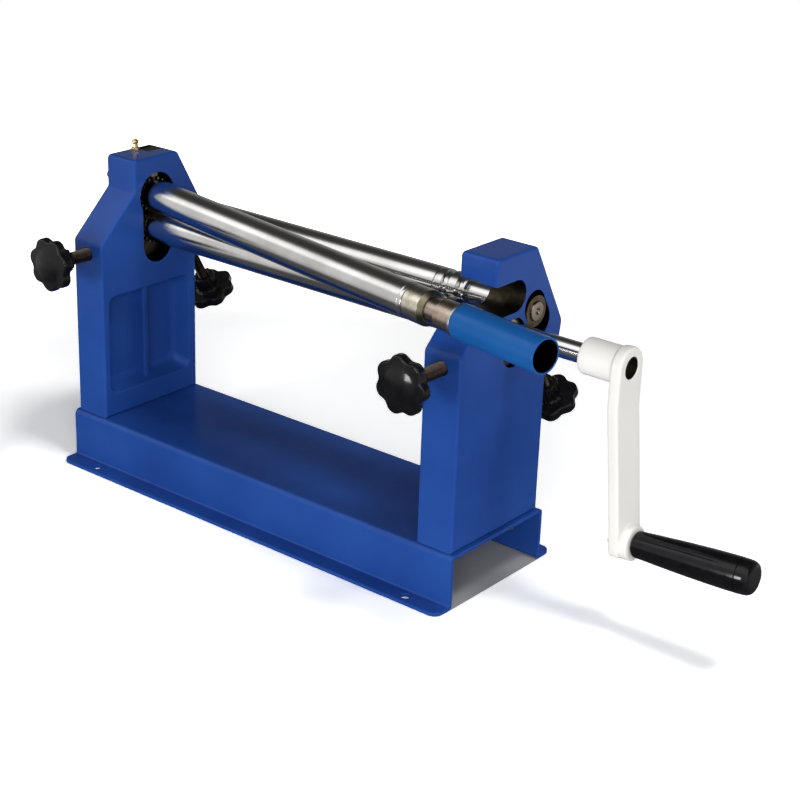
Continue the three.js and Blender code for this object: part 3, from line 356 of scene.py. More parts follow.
class Finish:
    """One material on the Principled shader."""

    def __init__(self, name, color, roughness, metallic=0.0, **fixed):
        self.material = bpy.data.materials.new(name + "_finish")
        self.material.use_nodes = True
        self.nodes = self.material.node_tree.nodes
        self.links = self.material.node_tree.links
        self.shader = self.nodes["Principled BSDF"]
        self.material.diffuse_color = (*color, 1)
        self.set({"Base Color": color, "Roughness": roughness, "Metallic": metallic, **fixed})

    def put(self, socket, value):
        """Links a Value to a socket, or sets the socket to a number or colour."""
        if isinstance(value, Value):
            self.links.new(value.socket, socket)
        elif hasattr(value, "__len__") and socket.type == "RGBA":
            socket.default_value = (*value, 1)
        else:
            socket.default_value = value

    def set(self, inputs):
        for name, value in inputs.items():
            self.put(self.shader.inputs[name.replace("_", " ")], value)

    def node(self, kind, settings=None, inputs=None, output=0):
        """Adds a node, with its settings first and then the values or links of its sockets."""
        made = self.nodes.new("ShaderNode" + kind)
        for name, value in (settings or {}).items():
            if name == "stops":
                ramp = made.color_ramp.elements
                while len(ramp) < len(value):
                    ramp.new(1)
                for stop, (at, color) in zip(ramp, value):
                    stop.position = at
                    stop.color = (*color, 1)
            else:
                setattr(made, name, value)
        for name, value in (inputs or {}).items():
            self.put(made.inputs[name], value)
        return Value(self, made.outputs[output]) if output is not None else None

    def coordinates(self, scale=(1, 1, 1)):
        place = self.node("TexCoord", output="Object")
        return self.node("VectorMath", {"operation": "MULTIPLY"}, {0: place, 1: scale})

    def noise(self, scale, detail=2.0, stretch=(1, 1, 1), roughness=0.5):
        """Noise with a grain of 1 / scale metres."""
        inputs = {"Vector": self.coordinates(stretch), "Scale": scale, "Detail": detail}
        return self.node("TexNoise", {}, {**inputs, "Roughness": roughness})

    def between(self, value, low, high):
        """The value stretched from low..high to 0..1, and held there."""
        return self.node("MapRange", {"clamp": True}, {0: value, 1: low, 2: high, 3: 0.0, 4: 1.0})

    def mix(self, factor, one, two):
        """Colour between one and two."""
        return self.node("Mix", {"data_type": "RGBA"}, {0: factor, 6: one, 7: two}, output=2)

    def bump(self, height, depth, spread=0.0):
        """Surface relief of a depth in millimetres, and a spread of tilts along the piece's axis."""
        inputs = {"Strength": 1.0, "Distance": depth * MM, "Height": height}
        normal = self.node("Bump", {}, inputs)
        if spread:
            points = {"Vector": self.coordinates((NO_TWO_ALIKE,) * 3)}
            grain = self.node("TexWhiteNoise", {}, points, "Value")
            settings = {"vector_type": "VECTOR", "convert_from": "OBJECT", "convert_to": "WORLD"}
            axis = self.node("VectorTransform", settings, {0: (1, 0, 0)})
            tilts = {0: axis, "Scale": spread * (grain - 0.5)}
            tilt = self.node("VectorMath", {"operation": "SCALE"}, tilts)
            tilted = self.node("VectorMath", {"operation": "ADD"}, {0: normal, 1: tilt})
            normal = self.node("VectorMath", {"operation": "NORMALIZE"}, {0: tilted})
        self.set({"Normal": normal})


finishes = {}


def finish(name, *args, **fixed):
    """A finish that is kept under its name, for the pieces that take it later."""
    finishes[name] = Finish(name, *args, **fixed)
    return finishes[name]


# %% [markdown]
# ## Enamel
# The castings and the base are sprayed in a thick glossy blue. Sprayed enamel is never flat: it has
# a fine orange peel, drifts a little in shade, and goes slightly dull where hands and dust reach.
# The tube's blue is a little lighter and greener than the castings', as if sprayed on its own.

# %% Blue, white and tube enamel
PEEL_DEPTH = 0.024
SPECK = (0.5, 0.52, 0.55)
ENAMELS = {
    "blue_enamel": ((0.012, 0.05, 0.24), (0.0175, 0.07, 0.31), 0.17),
    "tube_enamel": ((0.005, 0.07, 0.25), (0.009, 0.09, 0.31), 0.18),
    "white_enamel": ((0.72, 0.71, 0.675), (0.785, 0.775, 0.74), 0.28),
}
for name, (dark, light, roughness) in ENAMELS.items():
    enamel = finish(name, light, roughness, Specular_IOR_Level=0.12, Coat_Roughness=0.06,
                    Coat_Weight=0.05)
    drift = enamel.noise(14, 3)
    peel = enamel.noise(520, 1)
    dust = enamel.between(enamel.noise(90, 6, roughness=0.7), 0.5, 0.75)
    specks = enamel.between(enamel.noise(1900, 1), 0.76, 0.82)
    color = enamel.mix(enamel.between(drift, 0.3, 0.7), dark, light)
    enamel.set({"Base Color": enamel.mix(specks * 0.03, color, SPECK)})
    enamel.set({"Roughness": roughness + 0.1 * dust + 0.12 * specks})
    enamel.bump(peel + 0.15 * enamel.noise(2600, 1), PEEL_DEPTH)
print("enamels:", ", ".join(ENAMELS))

# %% [markdown]
# ## Steel, iron, bronze and brass
# Ground rolls carry very fine rings from the wheel, so their marks run round the axis: noise read
# only along X gives them. Rougher pieces get rings too, with blotches of oil and handling. The oily
# and bright metals are second finishes, for faces that the photograph shows darker or brighter than
# the rest of their piece: machined rooms black with oil and with painted shade, the roll's turned
# end, the collar's face. The near-black of those rooms stands in for the shade that fills them.


# %% Metals
def metal(name, dark, light, roughness, rings, blotch, relief, spread=0.08, tilts=0.0):
    """Bare metal with rings and blotches of so many a metre, and a relief in millimetres."""
    made = finish(name, light, roughness, 1.0)
    along = made.noise(rings, 3, stretch=(1, 0, 0), roughness=0.65)
    cloud = made.between(made.noise(blotch, 5, roughness=0.6), 0.35, 0.7)
    grain = made.noise(2400, 2)
    made.set({"Base Color": made.mix(0.75 * cloud + 0.25 * along, light, dark)})
    made.set({"Roughness": roughness + spread * cloud + 0.5 * spread * (along - 0.5)})
    made.bump(along + 0.5 * grain, relief, tilts)
    return made


metal("polished_steel", (0.5, 0.49, 0.475), (0.7, 0.69, 0.675), 0.11, 4200, 26, 0.0022, 0.06, 0.16)
metal("plain_steel", (0.3, 0.285, 0.27), (0.52, 0.51, 0.5), 0.28, 2600, 120, 0.008)
metal("dark_steel", (0.028, 0.022, 0.018), (0.12, 0.095, 0.078), 0.26, 2200, 200, 0.01)
metal("cast_iron", (0.11, 0.095, 0.06), (0.3, 0.275, 0.2), 0.3, 1800, 140, 0.012)
metal("bronze", (0.3, 0.22, 0.17), (0.55, 0.46, 0.4), 0.25, 2000, 150, 0.01)
metal("oily_bronze", (0.05, 0.036, 0.02), (0.2, 0.15, 0.09), 0.25, 2000, 150, 0.01)
metal("oily_steel", (0.19, 0.145, 0.115), (0.47, 0.38, 0.33), 0.2, 1600, 90, 0.006, tilts=0.3)
metal("bright_iron", (0.4, 0.36, 0.28), (0.68, 0.64, 0.54), 0.2, 2400, 160, 0.006, tilts=0.3)
# Near-black oiled iron for rooms, slots, seats, the top pocket and the tube's bore: it also paints the shade in
# those hollows.
metal("oily_iron", (0.008, 0.007, 0.005), (0.06, 0.05, 0.032), 0.38, 1800, 110, 0.012)
metal("brass", (0.5, 0.36, 0.14), (0.78, 0.62, 0.32), 0.22, 2000, 200, 0.006)
print("metals:", ", ".join(name for name in finishes if name not in ENAMELS))

# %% [markdown]
# ## Black plastic
# Knobs and grip are glossy mouldings. The gloss is broken by faint mould texture and by a dull
# film from handling, laid in patches by noise.

# %% Black plastic
CLEAN, FILMY = (0.003, 0.003, 0.0035), (0.008, 0.008, 0.009)
plastic = finish("black_plastic", (0.006, 0.006, 0.007), 0.1, Specular_IOR_Level=0.24)
film = plastic.between(plastic.noise(160, 5, roughness=0.7), 0.4, 0.75)
plastic.set({"Base Color": plastic.mix(film, CLEAN, FILMY)})
plastic.set({"Roughness": 0.09 + 0.1 * film})
plastic.bump(plastic.noise(1400, 2) + 0.4 * plastic.noise(260, 1), 0.02)
print("black plastic,", len(finishes), "finishes in all")

# %% [markdown]
# ## Putting a piece on its body
# Each fine piece replaces one CAD node, rides on that node's body and takes that node's finish
# slot from the record. So the table of pieces follows the record without being typed twice.

# %% Seating
WELD = 0.005
COPY_ANGLE = 40
slot_of = {row["node"]: row["material_slot"] for row in frame["record"]["subparts"]}
body_of = {}
for body, members in frame["record"]["behaviour"]["bodies"].items():
    for member in members:
        body_of[member] = body
seated = []


def seat(piece, node):
    """Gives a fine piece the finish, the slot and the body of the CAD node it stands for."""
    piece.name = node + "_fine"
    if not piece.data.materials:
        piece.data.materials.append(finishes[slot_of[node]].material)
    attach(piece, body_of[node])
    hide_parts(node)
    seated.append(piece.name)
    return piece


def refined(node, bevel, look=None):
    """A copy of a plain CAD solid with welded corners and fine bevels."""
    work = bmesh.new()
    work.from_mesh(frame["nodes"][node].data)
    bmesh.ops.remove_doubles(work, verts=work.verts, dist=WELD * MM)
    bmesh.ops.dissolve_limit(work, angle_limit=math.radians(1), verts=work.verts, edges=work.edges)
    mesh = bpy.data.meshes.new(node + "_fine")
    work.to_mesh(mesh)
    work.free()
    made = bpy.data.objects.new(node + "_fine", mesh)
    bpy.context.scene.collection.objects.link(made)
    bevelled(made, COPY_ANGLE, bevel)
    if look:
        made.data.materials.clear()
        made.data.materials.append(finishes[look].material)
    return seat(smooth(made, COPY_ANGLE), node)


# %% [markdown]
# ## The base
# The base is one sheet of 3 mm steel, bent into a channel with a foot along the front and back.
# The section is drawn once with its bends and pushed through the length. The corners of the feet
# are rounded by keeping only what lies inside the base's plan. A press brake leaves a tighter bend
# inside than outside, so each bend has two radii.

# %% Base
SHEET = 3.0
BEND, INNER_BEND, ROOT_BEND = 4.0, 1.5, 3.5
FOOT, FOOT_CORNER = 14.7, 7.0
FOOT_HOLE, HOLE_INSET = 4.0, 33.0
BOLT_ROW, BOLT_HOLE = 30.0, 5.2
half_length = BASE_HIGH.x
foot_edge = BASE_HIGH.y - MIDDLE_Y
wall = foot_edge - FOOT
deck = BASE_HIGH.z


def base_piece():
    section = rounded([
        (-foot_edge, 0), (-wall + SHEET, 0, ROOT_BEND), (-wall + SHEET, deck - SHEET, INNER_BEND),
        (wall - SHEET, deck - SHEET, INNER_BEND), (wall - SHEET, 0, ROOT_BEND), (foot_edge, 0),
        (foot_edge, SHEET), (wall, SHEET, INNER_BEND), (wall, deck, BEND), (-wall, deck, BEND),
        (-wall, SHEET, INNER_BEND), (-foot_edge, SHEET),
    ], True)
    corners = [(-half_length, -foot_edge), (half_length, -foot_edge)]
    corners += [(half_length, foot_edge), (-half_length, foot_edge)]
    plan = rounded([(x, y, FOOT_CORNER) for x, y in corners], True)
    base = slab("base", section, -half_length, half_length)
    carve(base, slab("plan", plan, -1, deck + 1, turn="Z"), how="INTERSECT")
    bevelled(base, 40, 0.5)
    cuts = []
    for side in (-1, 1):
        for row in (-1, 1):
            hole_x = side * (half_length - HOLE_INSET)
            hole = circle(hole_x, row * (foot_edge - FOOT / 2), FOOT_HOLE)
            cuts.append(slab("hole", hole, -1, SHEET + 1, turn="Z"))
            bolt = circle(side * (INNER + OUTER) / 2, row * BOLT_ROW, BOLT_HOLE)
            cuts.append(slab("hole", bolt, deck - 2 * SHEET, deck + 1, turn="Z"))
    return smooth(carve(base, *cuts), 40)


seat(base_piece(), "base_channel")
print("base", [round(v) for v in (2 * half_length, 2 * foot_edge, deck)], "mm")

# %% [markdown]
# ## The castings
# Both castings have the same outline, with a boss at the back for the slanted screw. A real one is
# poured in sand and only milled where something has to fit, so every outer edge is soft. Drawing
# the outline once and pushing it through the thickness keeps the two alike, and the rims roll over
# in five rings instead of a bevel, because a bevel can't follow both corners and rims cleanly.

# %% Outline shared by the castings
ARC_STEP = 9
FRONT, BACK = -51.0, 49.5
HEAD_FRONT, HEAD_BACK = -15.0, 31.3
HEAD_SHOULDER = FRAME_TOP - 24.6
SHOULDER = HEAD_SHOULDER - 34.9
BOSS_TOP = REAR_Z - 14.1
BOSS_BOTTOM = BOSS_TOP - 12.3
BOSS_BACK = 64.5
SLOT_TILT = math.radians(60)
SLOT_UP = Vector((-math.cos(SLOT_TILT), math.sin(SLOT_TILT)))
SLANT = Matrix.Rotation(math.pi - SLOT_TILT, 4, "X")
RIM = 2.2


def casting_outline():
    slope_y = HEAD_BACK + (FRAME_TOP - BOSS_TOP) / math.tan(SLOT_TILT)
    face_z = BOSS_BOTTOM - (BOSS_BACK - BACK) / math.tan(SLOT_TILT)
    return rounded([
        (FRONT, FRAME_BOTTOM), (BACK, FRAME_BOTTOM), (BACK, face_z, 4), (BOSS_BACK, BOSS_BOTTOM, 4),
        (slope_y, BOSS_TOP, 8), (HEAD_BACK, FRAME_TOP, 5), (HEAD_FRONT, FRAME_TOP, 3.5),
        (HEAD_FRONT, HEAD_SHOULDER, 3), (FRONT, SHOULDER, 5),
    ], True, ARC_STEP)


def casting(side):
    low, high = sorted((side * INNER, side * OUTER))
    return slab("casting", casting_outline(), low, high, RIM, 5)


print("castings", round(OUTER - INNER, 1), "mm thick, tops at", round(FRAME_TOP, 1), "mm")

# %% [markdown]
# The inner face has a sunk panel with an upright rib. Cast panels have sloping walls and soft
# corners, so that the pattern comes out of the sand. The cutter is therefore a stack of rounded
# rectangles: it rolls over at the mouth, slopes down, and rolls over again at the floor.

# %% Sunk panel with its rib
PANEL = {"front": -44.0, "back": 41.0, "bottom": 60.0, "top": 139.5, "depth": 14.0, "draft": 5.0}
PANEL_MOUTH, PANEL_FLOOR, PANEL_CORNER = 1.6, 4.0, 7.0
RIB = {"middle": -0.3, "half": 2.75, "drop": 6.0, "rim": 1.8, "bottom": 40, "top": 160, "far": 40}


def panel_ring(drawn):
    a0, a1 = PANEL["front"] + drawn, PANEL["back"] - drawn
    b0, b1 = PANEL["bottom"] + drawn, PANEL["top"] - drawn
    corners = ((a0, b0), (a1, b0), (a1, b1), (a0, b1))
    return rounded([(a, b, PANEL_CORNER) for a, b in corners], True, ARC_STEP)


def panel_cutter(side):
    """Stack of rounded rectangles from outside the face to the panel's floor, less the rib."""
    levels = [(-2.0, -PANEL_MOUTH)]
    for k in range(6):
        t = math.pi / 2 * k / 5
        levels.append((PANEL_MOUTH * (1 - math.cos(t)), -PANEL_MOUTH * (1 - math.sin(t))))
    for k in range(7):
        t = math.pi / 2 * k / 6
        depth = PANEL["depth"] - PANEL_FLOOR * (1 - math.sin(t))
        drawn = PANEL["draft"] * depth / PANEL["depth"] + PANEL_FLOOR * (1 - math.cos(t))
        levels.append((depth, drawn))
    vertices, loops = [], []
    for depth, drawn in levels:
        ring = panel_ring(drawn)
        loops.append(list(range(len(vertices), len(vertices) + len(ring))))
        vertices += [(side * (INNER + depth), p.x, p.y) for p in ring]
    cutter = make("panel", vertices, skin(loops) + [loops[0], loops[-1]])
    low, high = sorted((side * (INNER + RIB["drop"]), side * (INNER + RIB["far"])))
    a0, a1 = RIB["middle"] - RIB["half"], RIB["middle"] + RIB["half"]
    b0, b1 = RIB["bottom"], RIB["top"]
    rib = [Vector(p) for p in ((a0, b0), (a1, b0), (a1, b1), (a0, b1))]
    return carve(cutter, slab("rib", rib, low, high, RIB["rim"]))


print("panels", PANEL["depth"], "mm deep with a rib of", 2 * RIB["half"], "mm")

# %% [markdown]
# Two holes are drilled into each casting for its adjusting screws: one level from the front, and
# one from below along the slanted line on which the rear roll travels.

# %% Screw holes
FRONT_SCREW, REAR_SCREW = 5.0, 4.0
SCREW_PLAY = 0.3
SCREW_X = (INNER + OUTER) / 2
FRONT_SCREW_Z = LOWER_Z - 12.9
FRONT_HOLE_END = PINCH_Y - 14
REAR_HOLE_NEAR, REAR_HOLE_FAR = 8, 48


def hole_slanted(x, radius, near, far):
    """Round hole down the slanted line of the rear screws."""
    start = Vector((x, REAR_Y - SLOT_UP.x * near, REAR_Z - SLOT_UP.y * near))
    flat = [Vector((p.y, p.x)) for p in circle(0, 0, radius)]
    return slab("hole", flat[::-1], 0, near - far, turn="Y", place=MACHINE @ shift(*start) @ SLANT)


def shared_cuts(side):
    level = circle(side * SCREW_X, FRONT_SCREW_Z, FRONT_SCREW + SCREW_PLAY)
    return [
        panel_cutter(side),
        slab("hole", level, FRONT - 1, FRONT_HOLE_END, turn="Y"),
        hole_slanted(side * SCREW_X, REAR_SCREW + SCREW_PLAY, REAR_HOLE_NEAR, REAR_HOLE_FAR),
    ]


print("screw holes of", 2 * (FRONT_SCREW + SCREW_PLAY), "and", 2 * (REAR_SCREW + SCREW_PLAY), "mm")

# %% [markdown]
# The two castings differ in their openings. The left one has a dark room for the gear pair, with
# the bearings behind it, and a small shallow pocket in its top beside the nipple. The right one is
# open at the front of its head: a stepped seat where the upper roll's bush and collar come to lie.

# %% Slots and rooms
SEAT_ROOF, SEAT_RADIUS, SEAT_DEPTH = 11.8, 11.3, 13.5
SEAT_BACK = PINCH_Y + 13
COLLAR_ROOM = ROLL_RADIUS + 0.4
WALL = 10
INNER_WALL, OUTER_WALL = 3.0, 2.5
SLOT_HALF = 12.0
SLOT_TOP = LOWER_Z + 10.5
WEDGE_FLOOR = LOWER_Z - 24.7
BLOCK_SLOT = (WEDGE_FLOOR + SLOT_HALF, SLOT_TOP - SLOT_HALF, SLOT_HALF)
BLOCK_SLOT_START = -165.4
SHAFT_SLOT = (LOWER_Z - 1.2, LOWER_Z, 7.6)
UPPER_GEAR_ROOM, LOWER_GEAR_ROOM, GEAR_ROOM_DEPTH = 17.8, 15.0, 10.6
GEAR_ROOM_BOTTOM = LOWER_Z - 13.7
CARRIER_ROOM, CARRIER_SHIFT = 11.8, 3.4
REAR_UP, REAR_DOWN = 4.7, 9.0
REAR_JOURNAL_SLOT, REAR_BUSH_SLOT, REAR_RIGHT_SLOT = 6.6, 9.9, 11.7
POCKET = (-186, -171, 13, 31)
POCKET_DEPTH = 1.2


def slanted_slot(radius, low, high):
    up, down = (Vector((REAR_Y, REAR_Z)) + SLOT_UP * t for t in (REAR_UP, -REAR_DOWN))
    return slab("slot", obround(up.x, up.y, down.x, down.y, radius), low, high)


def upright_slot(bottom, top, radius, low, high):
    return slab("slot", obround(PINCH_Y, top, PINCH_Y, bottom, radius), low, high)


print("rear slot for", REAR_UP + REAR_DOWN, "mm of travel")


# %% Left casting
def left_casting():
    face, end = -INNER + 1, -INNER - GEAR_ROOM_DEPTH
    carrier = obround(PINCH_Y, UPPER_Z, PINCH_Y + CARRIER_SHIFT, UPPER_Z, CARRIER_ROOM)
    x0, x1, y0, y1 = POCKET
    pocket = [Vector(p) for p in ((x0, y0), (x1, y0), (x1, y1), (x0, y1))]
    room = [
        slab("hole", circle(PINCH_Y, UPPER_Z, UPPER_GEAR_ROOM), end, face),
        upright_slot(GEAR_ROOM_BOTTOM, UPPER_Z, LOWER_GEAR_ROOM, end - 0.01, face + 0.01),
        slab("carrier", carrier, -OUTER - 1, end + 1),
        upright_slot(*BLOCK_SLOT, -OUTER - 1, BLOCK_SLOT_START),
        slanted_slot(REAR_JOURNAL_SLOT, -INNER - WALL - 1, face + 0.5),
        slanted_slot(REAR_BUSH_SLOT, -OUTER - 1, -INNER - WALL),
        slab("pocket", pocket, FRAME_TOP - POCKET_DEPTH, FRAME_TOP + 1, turn="Z"),
    ]
    return smooth(bevelled(carve(casting(-1), *shared_cuts(-1), *room), 35, 0.35))


# %% Right casting
def right_casting():
    seat_inner = OUTER - SEAT_DEPTH
    seat_z = UPPER_Z + SEAT_ROOF - SEAT_RADIUS
    ahead = FRONT - 2 * ROLL_RADIUS
    bush_seat = obround(ahead, seat_z, PINCH_Y, seat_z, SEAT_RADIUS)
    collar_room = obround(ahead, UPPER_Z, PINCH_Y, UPPER_Z, COLLAR_ROOM)
    room = [
        upright_slot(*BLOCK_SLOT, INNER + INNER_WALL, OUTER + 1),
        upright_slot(*SHAFT_SLOT, INNER - 1, INNER + INNER_WALL + 1),
        slanted_slot(REAR_RIGHT_SLOT, INNER - 1.1, OUTER + 1.1),
        slab("seat", bush_seat, seat_inner - 1, OUTER + 1.2),
        slab("room", collar_room, INNER - 1.2, seat_inner),
    ]
    return smooth(bevelled(carve(casting(1), *shared_cuts(1), *room), 35, 0.35))


# %% [markdown]
# Machined seats and the works behind them are never sprayed. They are bare and black with oil, so
# their faces get a second finish, near-black, which also paints the shade that falls into these
# rooms. A cut leaves no record of which tool made a face, but its place tells: each test asks
# whether a face's middle lies within the outline of an opening. A mask in the enamel's nodes could
# do the same, but two plain finishes are easier to read and to change.

# %% Bare faces
TOUCH = 0.1
HEAD_COVER = 15


def bare(body, test, spare, usual="blue_enamel"):
    """Gives the faces that pass a test, by middle and normal, another finish than the usual one."""
    if not body.data.materials:
        body.data.materials.append(finishes[usual].material)
    body.data.materials.append(finishes[spare].material)
    count = 0
    for face in body.data.polygons:
        if test(face.center / MM, face.normal):
            face.material_index = len(body.data.materials) - 1
            count += 1
    print(spare, "on", count, "faces of", body.name)
    return body


def inside_upright(p, bottom, top, radius):
    """Whether a point lies within an upright slot seen along X."""
    z = min(max(p.z, bottom), top)
    return math.hypot(p.y - PINCH_Y, p.z - z) < radius + TOUCH


def inside_slanted(p, radius):
    along = Vector((p.y - REAR_Y, p.z - REAR_Z)).dot(SLOT_UP)
    along = min(max(along, -REAR_DOWN), REAR_UP)
    nearest = Vector((REAR_Y, REAR_Z)) + SLOT_UP * along
    return (Vector((p.y, p.z)) - nearest).length < radius + TOUCH


def behind_skin(x):
    """Whether a place along X lies between the painted inner and outer faces of a casting."""
    return INNER + 0.5 < x < OUTER - 0.4


def left_works(p, n):
    gears = inside_upright(p, GEAR_ROOM_BOTTOM, UPPER_Z, UPPER_GEAR_ROOM)
    return behind_skin(-p.x) and (gears or inside_slanted(p, REAR_BUSH_SLOT))


def right_works(p, n):
    seat_room = SLOT_TOP < p.z < FRAME_TOP - HEAD_COVER and p.y < SEAT_BACK
    seat_face = seat_room and (abs(n.x) > 0.9 or n.z > 0.1 or n.y < -0.1)
    slots = inside_upright(p, *BLOCK_SLOT) or inside_slanted(p, REAR_RIGHT_SLOT)
    return behind_skin(p.x) and (seat_face or slots)


# The top pocket's faces get the near-black iron: painted shade in a pocket only 1.2 mm deep.
def in_pocket(p, n):
    x0, x1, y0, y1 = POCKET
    within = x0 - 0.2 < p.x < x1 + 0.2 and y0 - 0.2 < p.y < y1 + 0.2
    return within and FRAME_TOP - POCKET_DEPTH - TOUCH < p.z < FRAME_TOP - 0.2


# %% Both castings in place
left = left_casting()
# Rooms, slots and the top pocket take the near-black iron, partly oil and partly painted shade.
bare(left, left_works, "oily_iron")
bare(left, in_pocket, "oily_iron")
seat(left, "left_frame")
right = right_casting()
# The right casting's seat and slots get the same near-black iron as painted shade.
bare(right, right_works, "oily_iron")
seat(right, "right_frame")

# %% [markdown]
# ## The rolls
# The rolls are ground bar: long straight cylinders with journals turned down at both ends. Near
# the right end of the lower and rear rolls are three round grooves, in which wire is curled. A
# lathe makes them by turning, and so does this lesson: one outline each, spun in 128 steps.

# %% Journals and wire grooves
JOURNAL = 7.0
JOURNAL_STEP = 9.0
RING_GROOVE = 0.7
GEAR_RIGHT = -INNER - 2.7
GROOVES = ((51.5, 3.2, 1.6), (44.5, 6.4, 3.0), (31.7, 6.2, 4.0))
GROOVE_STEPS = 12
ROLL_SIDES = 128


def grooves():
    """Round-bottomed wire grooves, each from (distance to the casting, width, depth)."""
    points = []
    for away, width, depth in GROOVES:
        for k in range(GROOVE_STEPS + 1):
            t = math.pi * k / GROOVE_STEPS
            along = INNER - away + width * (1 - math.cos(t)) / 2
            points.append((along, ROLL_RADIUS - depth * math.sin(t)))
    return points


def journal(end, ring):
    """Left journal from its end, with the groove of its retaining ring."""
    groove = JOURNAL - RING_GROOVE
    return [
        (end, 0), (end, JOURNAL, 0.6), (ring - 0.15, JOURNAL), (ring - 0.15, groove),
        (ring + 1.35, groove), (ring + 1.35, JOURNAL), (GEAR_RIGHT + 0.1, JOURNAL),
        (GEAR_RIGHT + 0.1, JOURNAL_STEP, 0.3), (-INNER - 1, JOURNAL_STEP),
        (-INNER - 1, ROLL_RADIUS, 0.9),
    ]


print("grooves", [depth for away, width, depth in GROOVES], "mm deep")

# %% [markdown]
# The upper roll runs on into a neck that carries the collar and the bush. Beyond the relief its
# turned end is duller and oilier than the ground barrel, so those faces get the oily steel. The
# rear roll's end face, which shows in its bush, gets it too.

# %% Upper roll
COLLAR_START = INNER - 7.2
NECK = 8.75
NECK_END = OUTER - 9.5
BUSH_END = OUTER + 6.3
PLUG_START = BUSH_END + 0.4
PLUG_END = PLUG_START + 22
UPPER_LEFT, UPPER_RING = -183.9, -182.1

upper_end = COLLAR_START - 0.3
upper = lathe("roll", [
    *journal(UPPER_LEFT, UPPER_RING), (upper_end - 4, ROLL_RADIUS, 0.25),
    (upper_end - 3.4, ROLL_RADIUS - 0.5), (upper_end - 2.8, ROLL_RADIUS, 0.25),
    (upper_end, ROLL_RADIUS, 0.3), (upper_end, NECK), (NECK_END, NECK, 0.4), (NECK_END, JOURNAL),
    (PLUG_END - 0.2, JOURNAL, 0.5), (PLUG_END - 0.2, 0),
], UPPER, ROLL_SIDES)
bare(upper, lambda p, n: p.x > upper_end - TOUCH, "oily_steel", "polished_steel")
seat(smooth(upper, 30), "upper_roll")
print("upper roll", round(2 * upper_end), "mm between its ends")

# %% Lower and rear roll
SHAFT_END = OUTER + 82.5
LOWER_LEFT, LOWER_RING = -186.1, -184.5
REAR_LEFT, REAR_JOURNAL = -184.5, 6

lower_end = INNER - 18
lower = lathe("roll", [
    *journal(LOWER_LEFT, LOWER_RING), *grooves(), (lower_end, ROLL_RADIUS, 0.8),
    (lower_end, JOURNAL_STEP), (INNER - 1, JOURNAL_STEP, 0.4), (INNER - 1, JOURNAL),
    (SHAFT_END, JOURNAL, 0.6), (SHAFT_END, 0),
], LOWER, ROLL_SIDES)
seat(smooth(lower, 30), "lower_roll")

rear_end = INNER - 23.5
rear = lathe("roll", [
    (REAR_LEFT, 0), (REAR_LEFT, REAR_JOURNAL, 0.6), (-INNER + 1, REAR_JOURNAL),
    (-INNER + 1, ROLL_RADIUS, 0.8), *grooves(), (rear_end, ROLL_RADIUS, 0.6),
    (rear_end, JOURNAL_STEP, 0.3), (INNER - 1, JOURNAL_STEP, 0.4), (INNER - 1, JOURNAL),
    (OUTER + 0.8, JOURNAL, 0.6), (OUTER + 0.8, 2.6, 0.2), (OUTER - 2.2, 0),
], REAR, ROLL_SIDES)
bare(rear, lambda p, n: p.x > OUTER - 2, "oily_steel", "polished_steel")
seat(smooth(rear, 30), "rear_roll")
print("crank shaft", round(SHAFT_END - OUTER, 1), "mm past the casting")

# %% [markdown]
# ## Collar, bushes and the handle tube
# At its right end the upper roll carries a thrust collar, a bush that lies in the open seat, and a
# plugged tube to swing it by. All are rings of one kind: a closed outline, turned. The collar's
# face is turned bright in front of a dark cast chamfer, and the tube is bare inside, its bore
# painted near-black as painted shade.

# %% Thrust collar
COLLAR_LENGTH, COLLAR_CHAMFER = 18.7, 3.0

collar_end = COLLAR_START + COLLAR_LENGTH
bright_end = collar_end - COLLAR_CHAMFER
collar = lathe("ring", [
    (COLLAR_START, NECK + 0.1, 0.2), (COLLAR_START, ROLL_RADIUS, 0.5),
    (bright_end, ROLL_RADIUS, 0.5), (collar_end, ROLL_RADIUS - COLLAR_CHAMFER, 0.3),
    (collar_end, NECK + 0.1, 0.1),
], UPPER, 96, True)
bare(collar, lambda p, n: p.x < bright_end - 0.4, "bright_iron", "cast_iron")
seat(smooth(collar, 30), "thrust_collar")

# %% Bushes
BUSH_BORE = JOURNAL + 0.06
REAR_BORE = REAR_JOURNAL + 0.06
BUSH_RADIUS = 9


def ring(node, place, low, high, outer, inner, edge=0.4, look=None):
    """Ring from low to high along its axis, with its own look where the record's is too bright."""
    corners = [(low, inner, 0.2), (low, outer, edge), (high, outer, edge), (high, inner, 0.2)]
    made = lathe("ring", corners, place, 96, True)
    if look:
        made.data.materials.append(finishes[look].material)
    return seat(smooth(made, 30), node)


ring("seat_bush", UPPER, NECK_END + 0.2, BUSH_END, 10.5, BUSH_BORE, 0.7)
ring("carrier_bush", UPPER, -180.5, -165.3, BUSH_RADIUS, BUSH_BORE)
ring("lower_bush_left", LOWER, -183, -165.6, BUSH_RADIUS, BUSH_BORE)
right_bush = (INNER + INNER_WALL + 0.4, OUTER - OUTER_WALL - 0.4)
ring("lower_bush_right", LOWER, *right_bush, BUSH_RADIUS, BUSH_BORE)
ring("rear_bush_left", REAR, -OUTER + 2.5, -INNER - 10.4, 9.5, REAR_BORE)
ring("rear_bush_right", REAR, INNER + 1, OUTER - 0.4, 11.4, BUSH_BORE, look="oily_bronze")
print("bushes of", 2 * BUSH_BORE, "mm bore")

# %% Plug, handle tube and washer
TUBE_RADIUS, TUBE_WALL, TUBE_LENGTH = 12.2, 1.4, 75.8
PLUG_RADIUS, PLUG_RIM = 10.65, 2

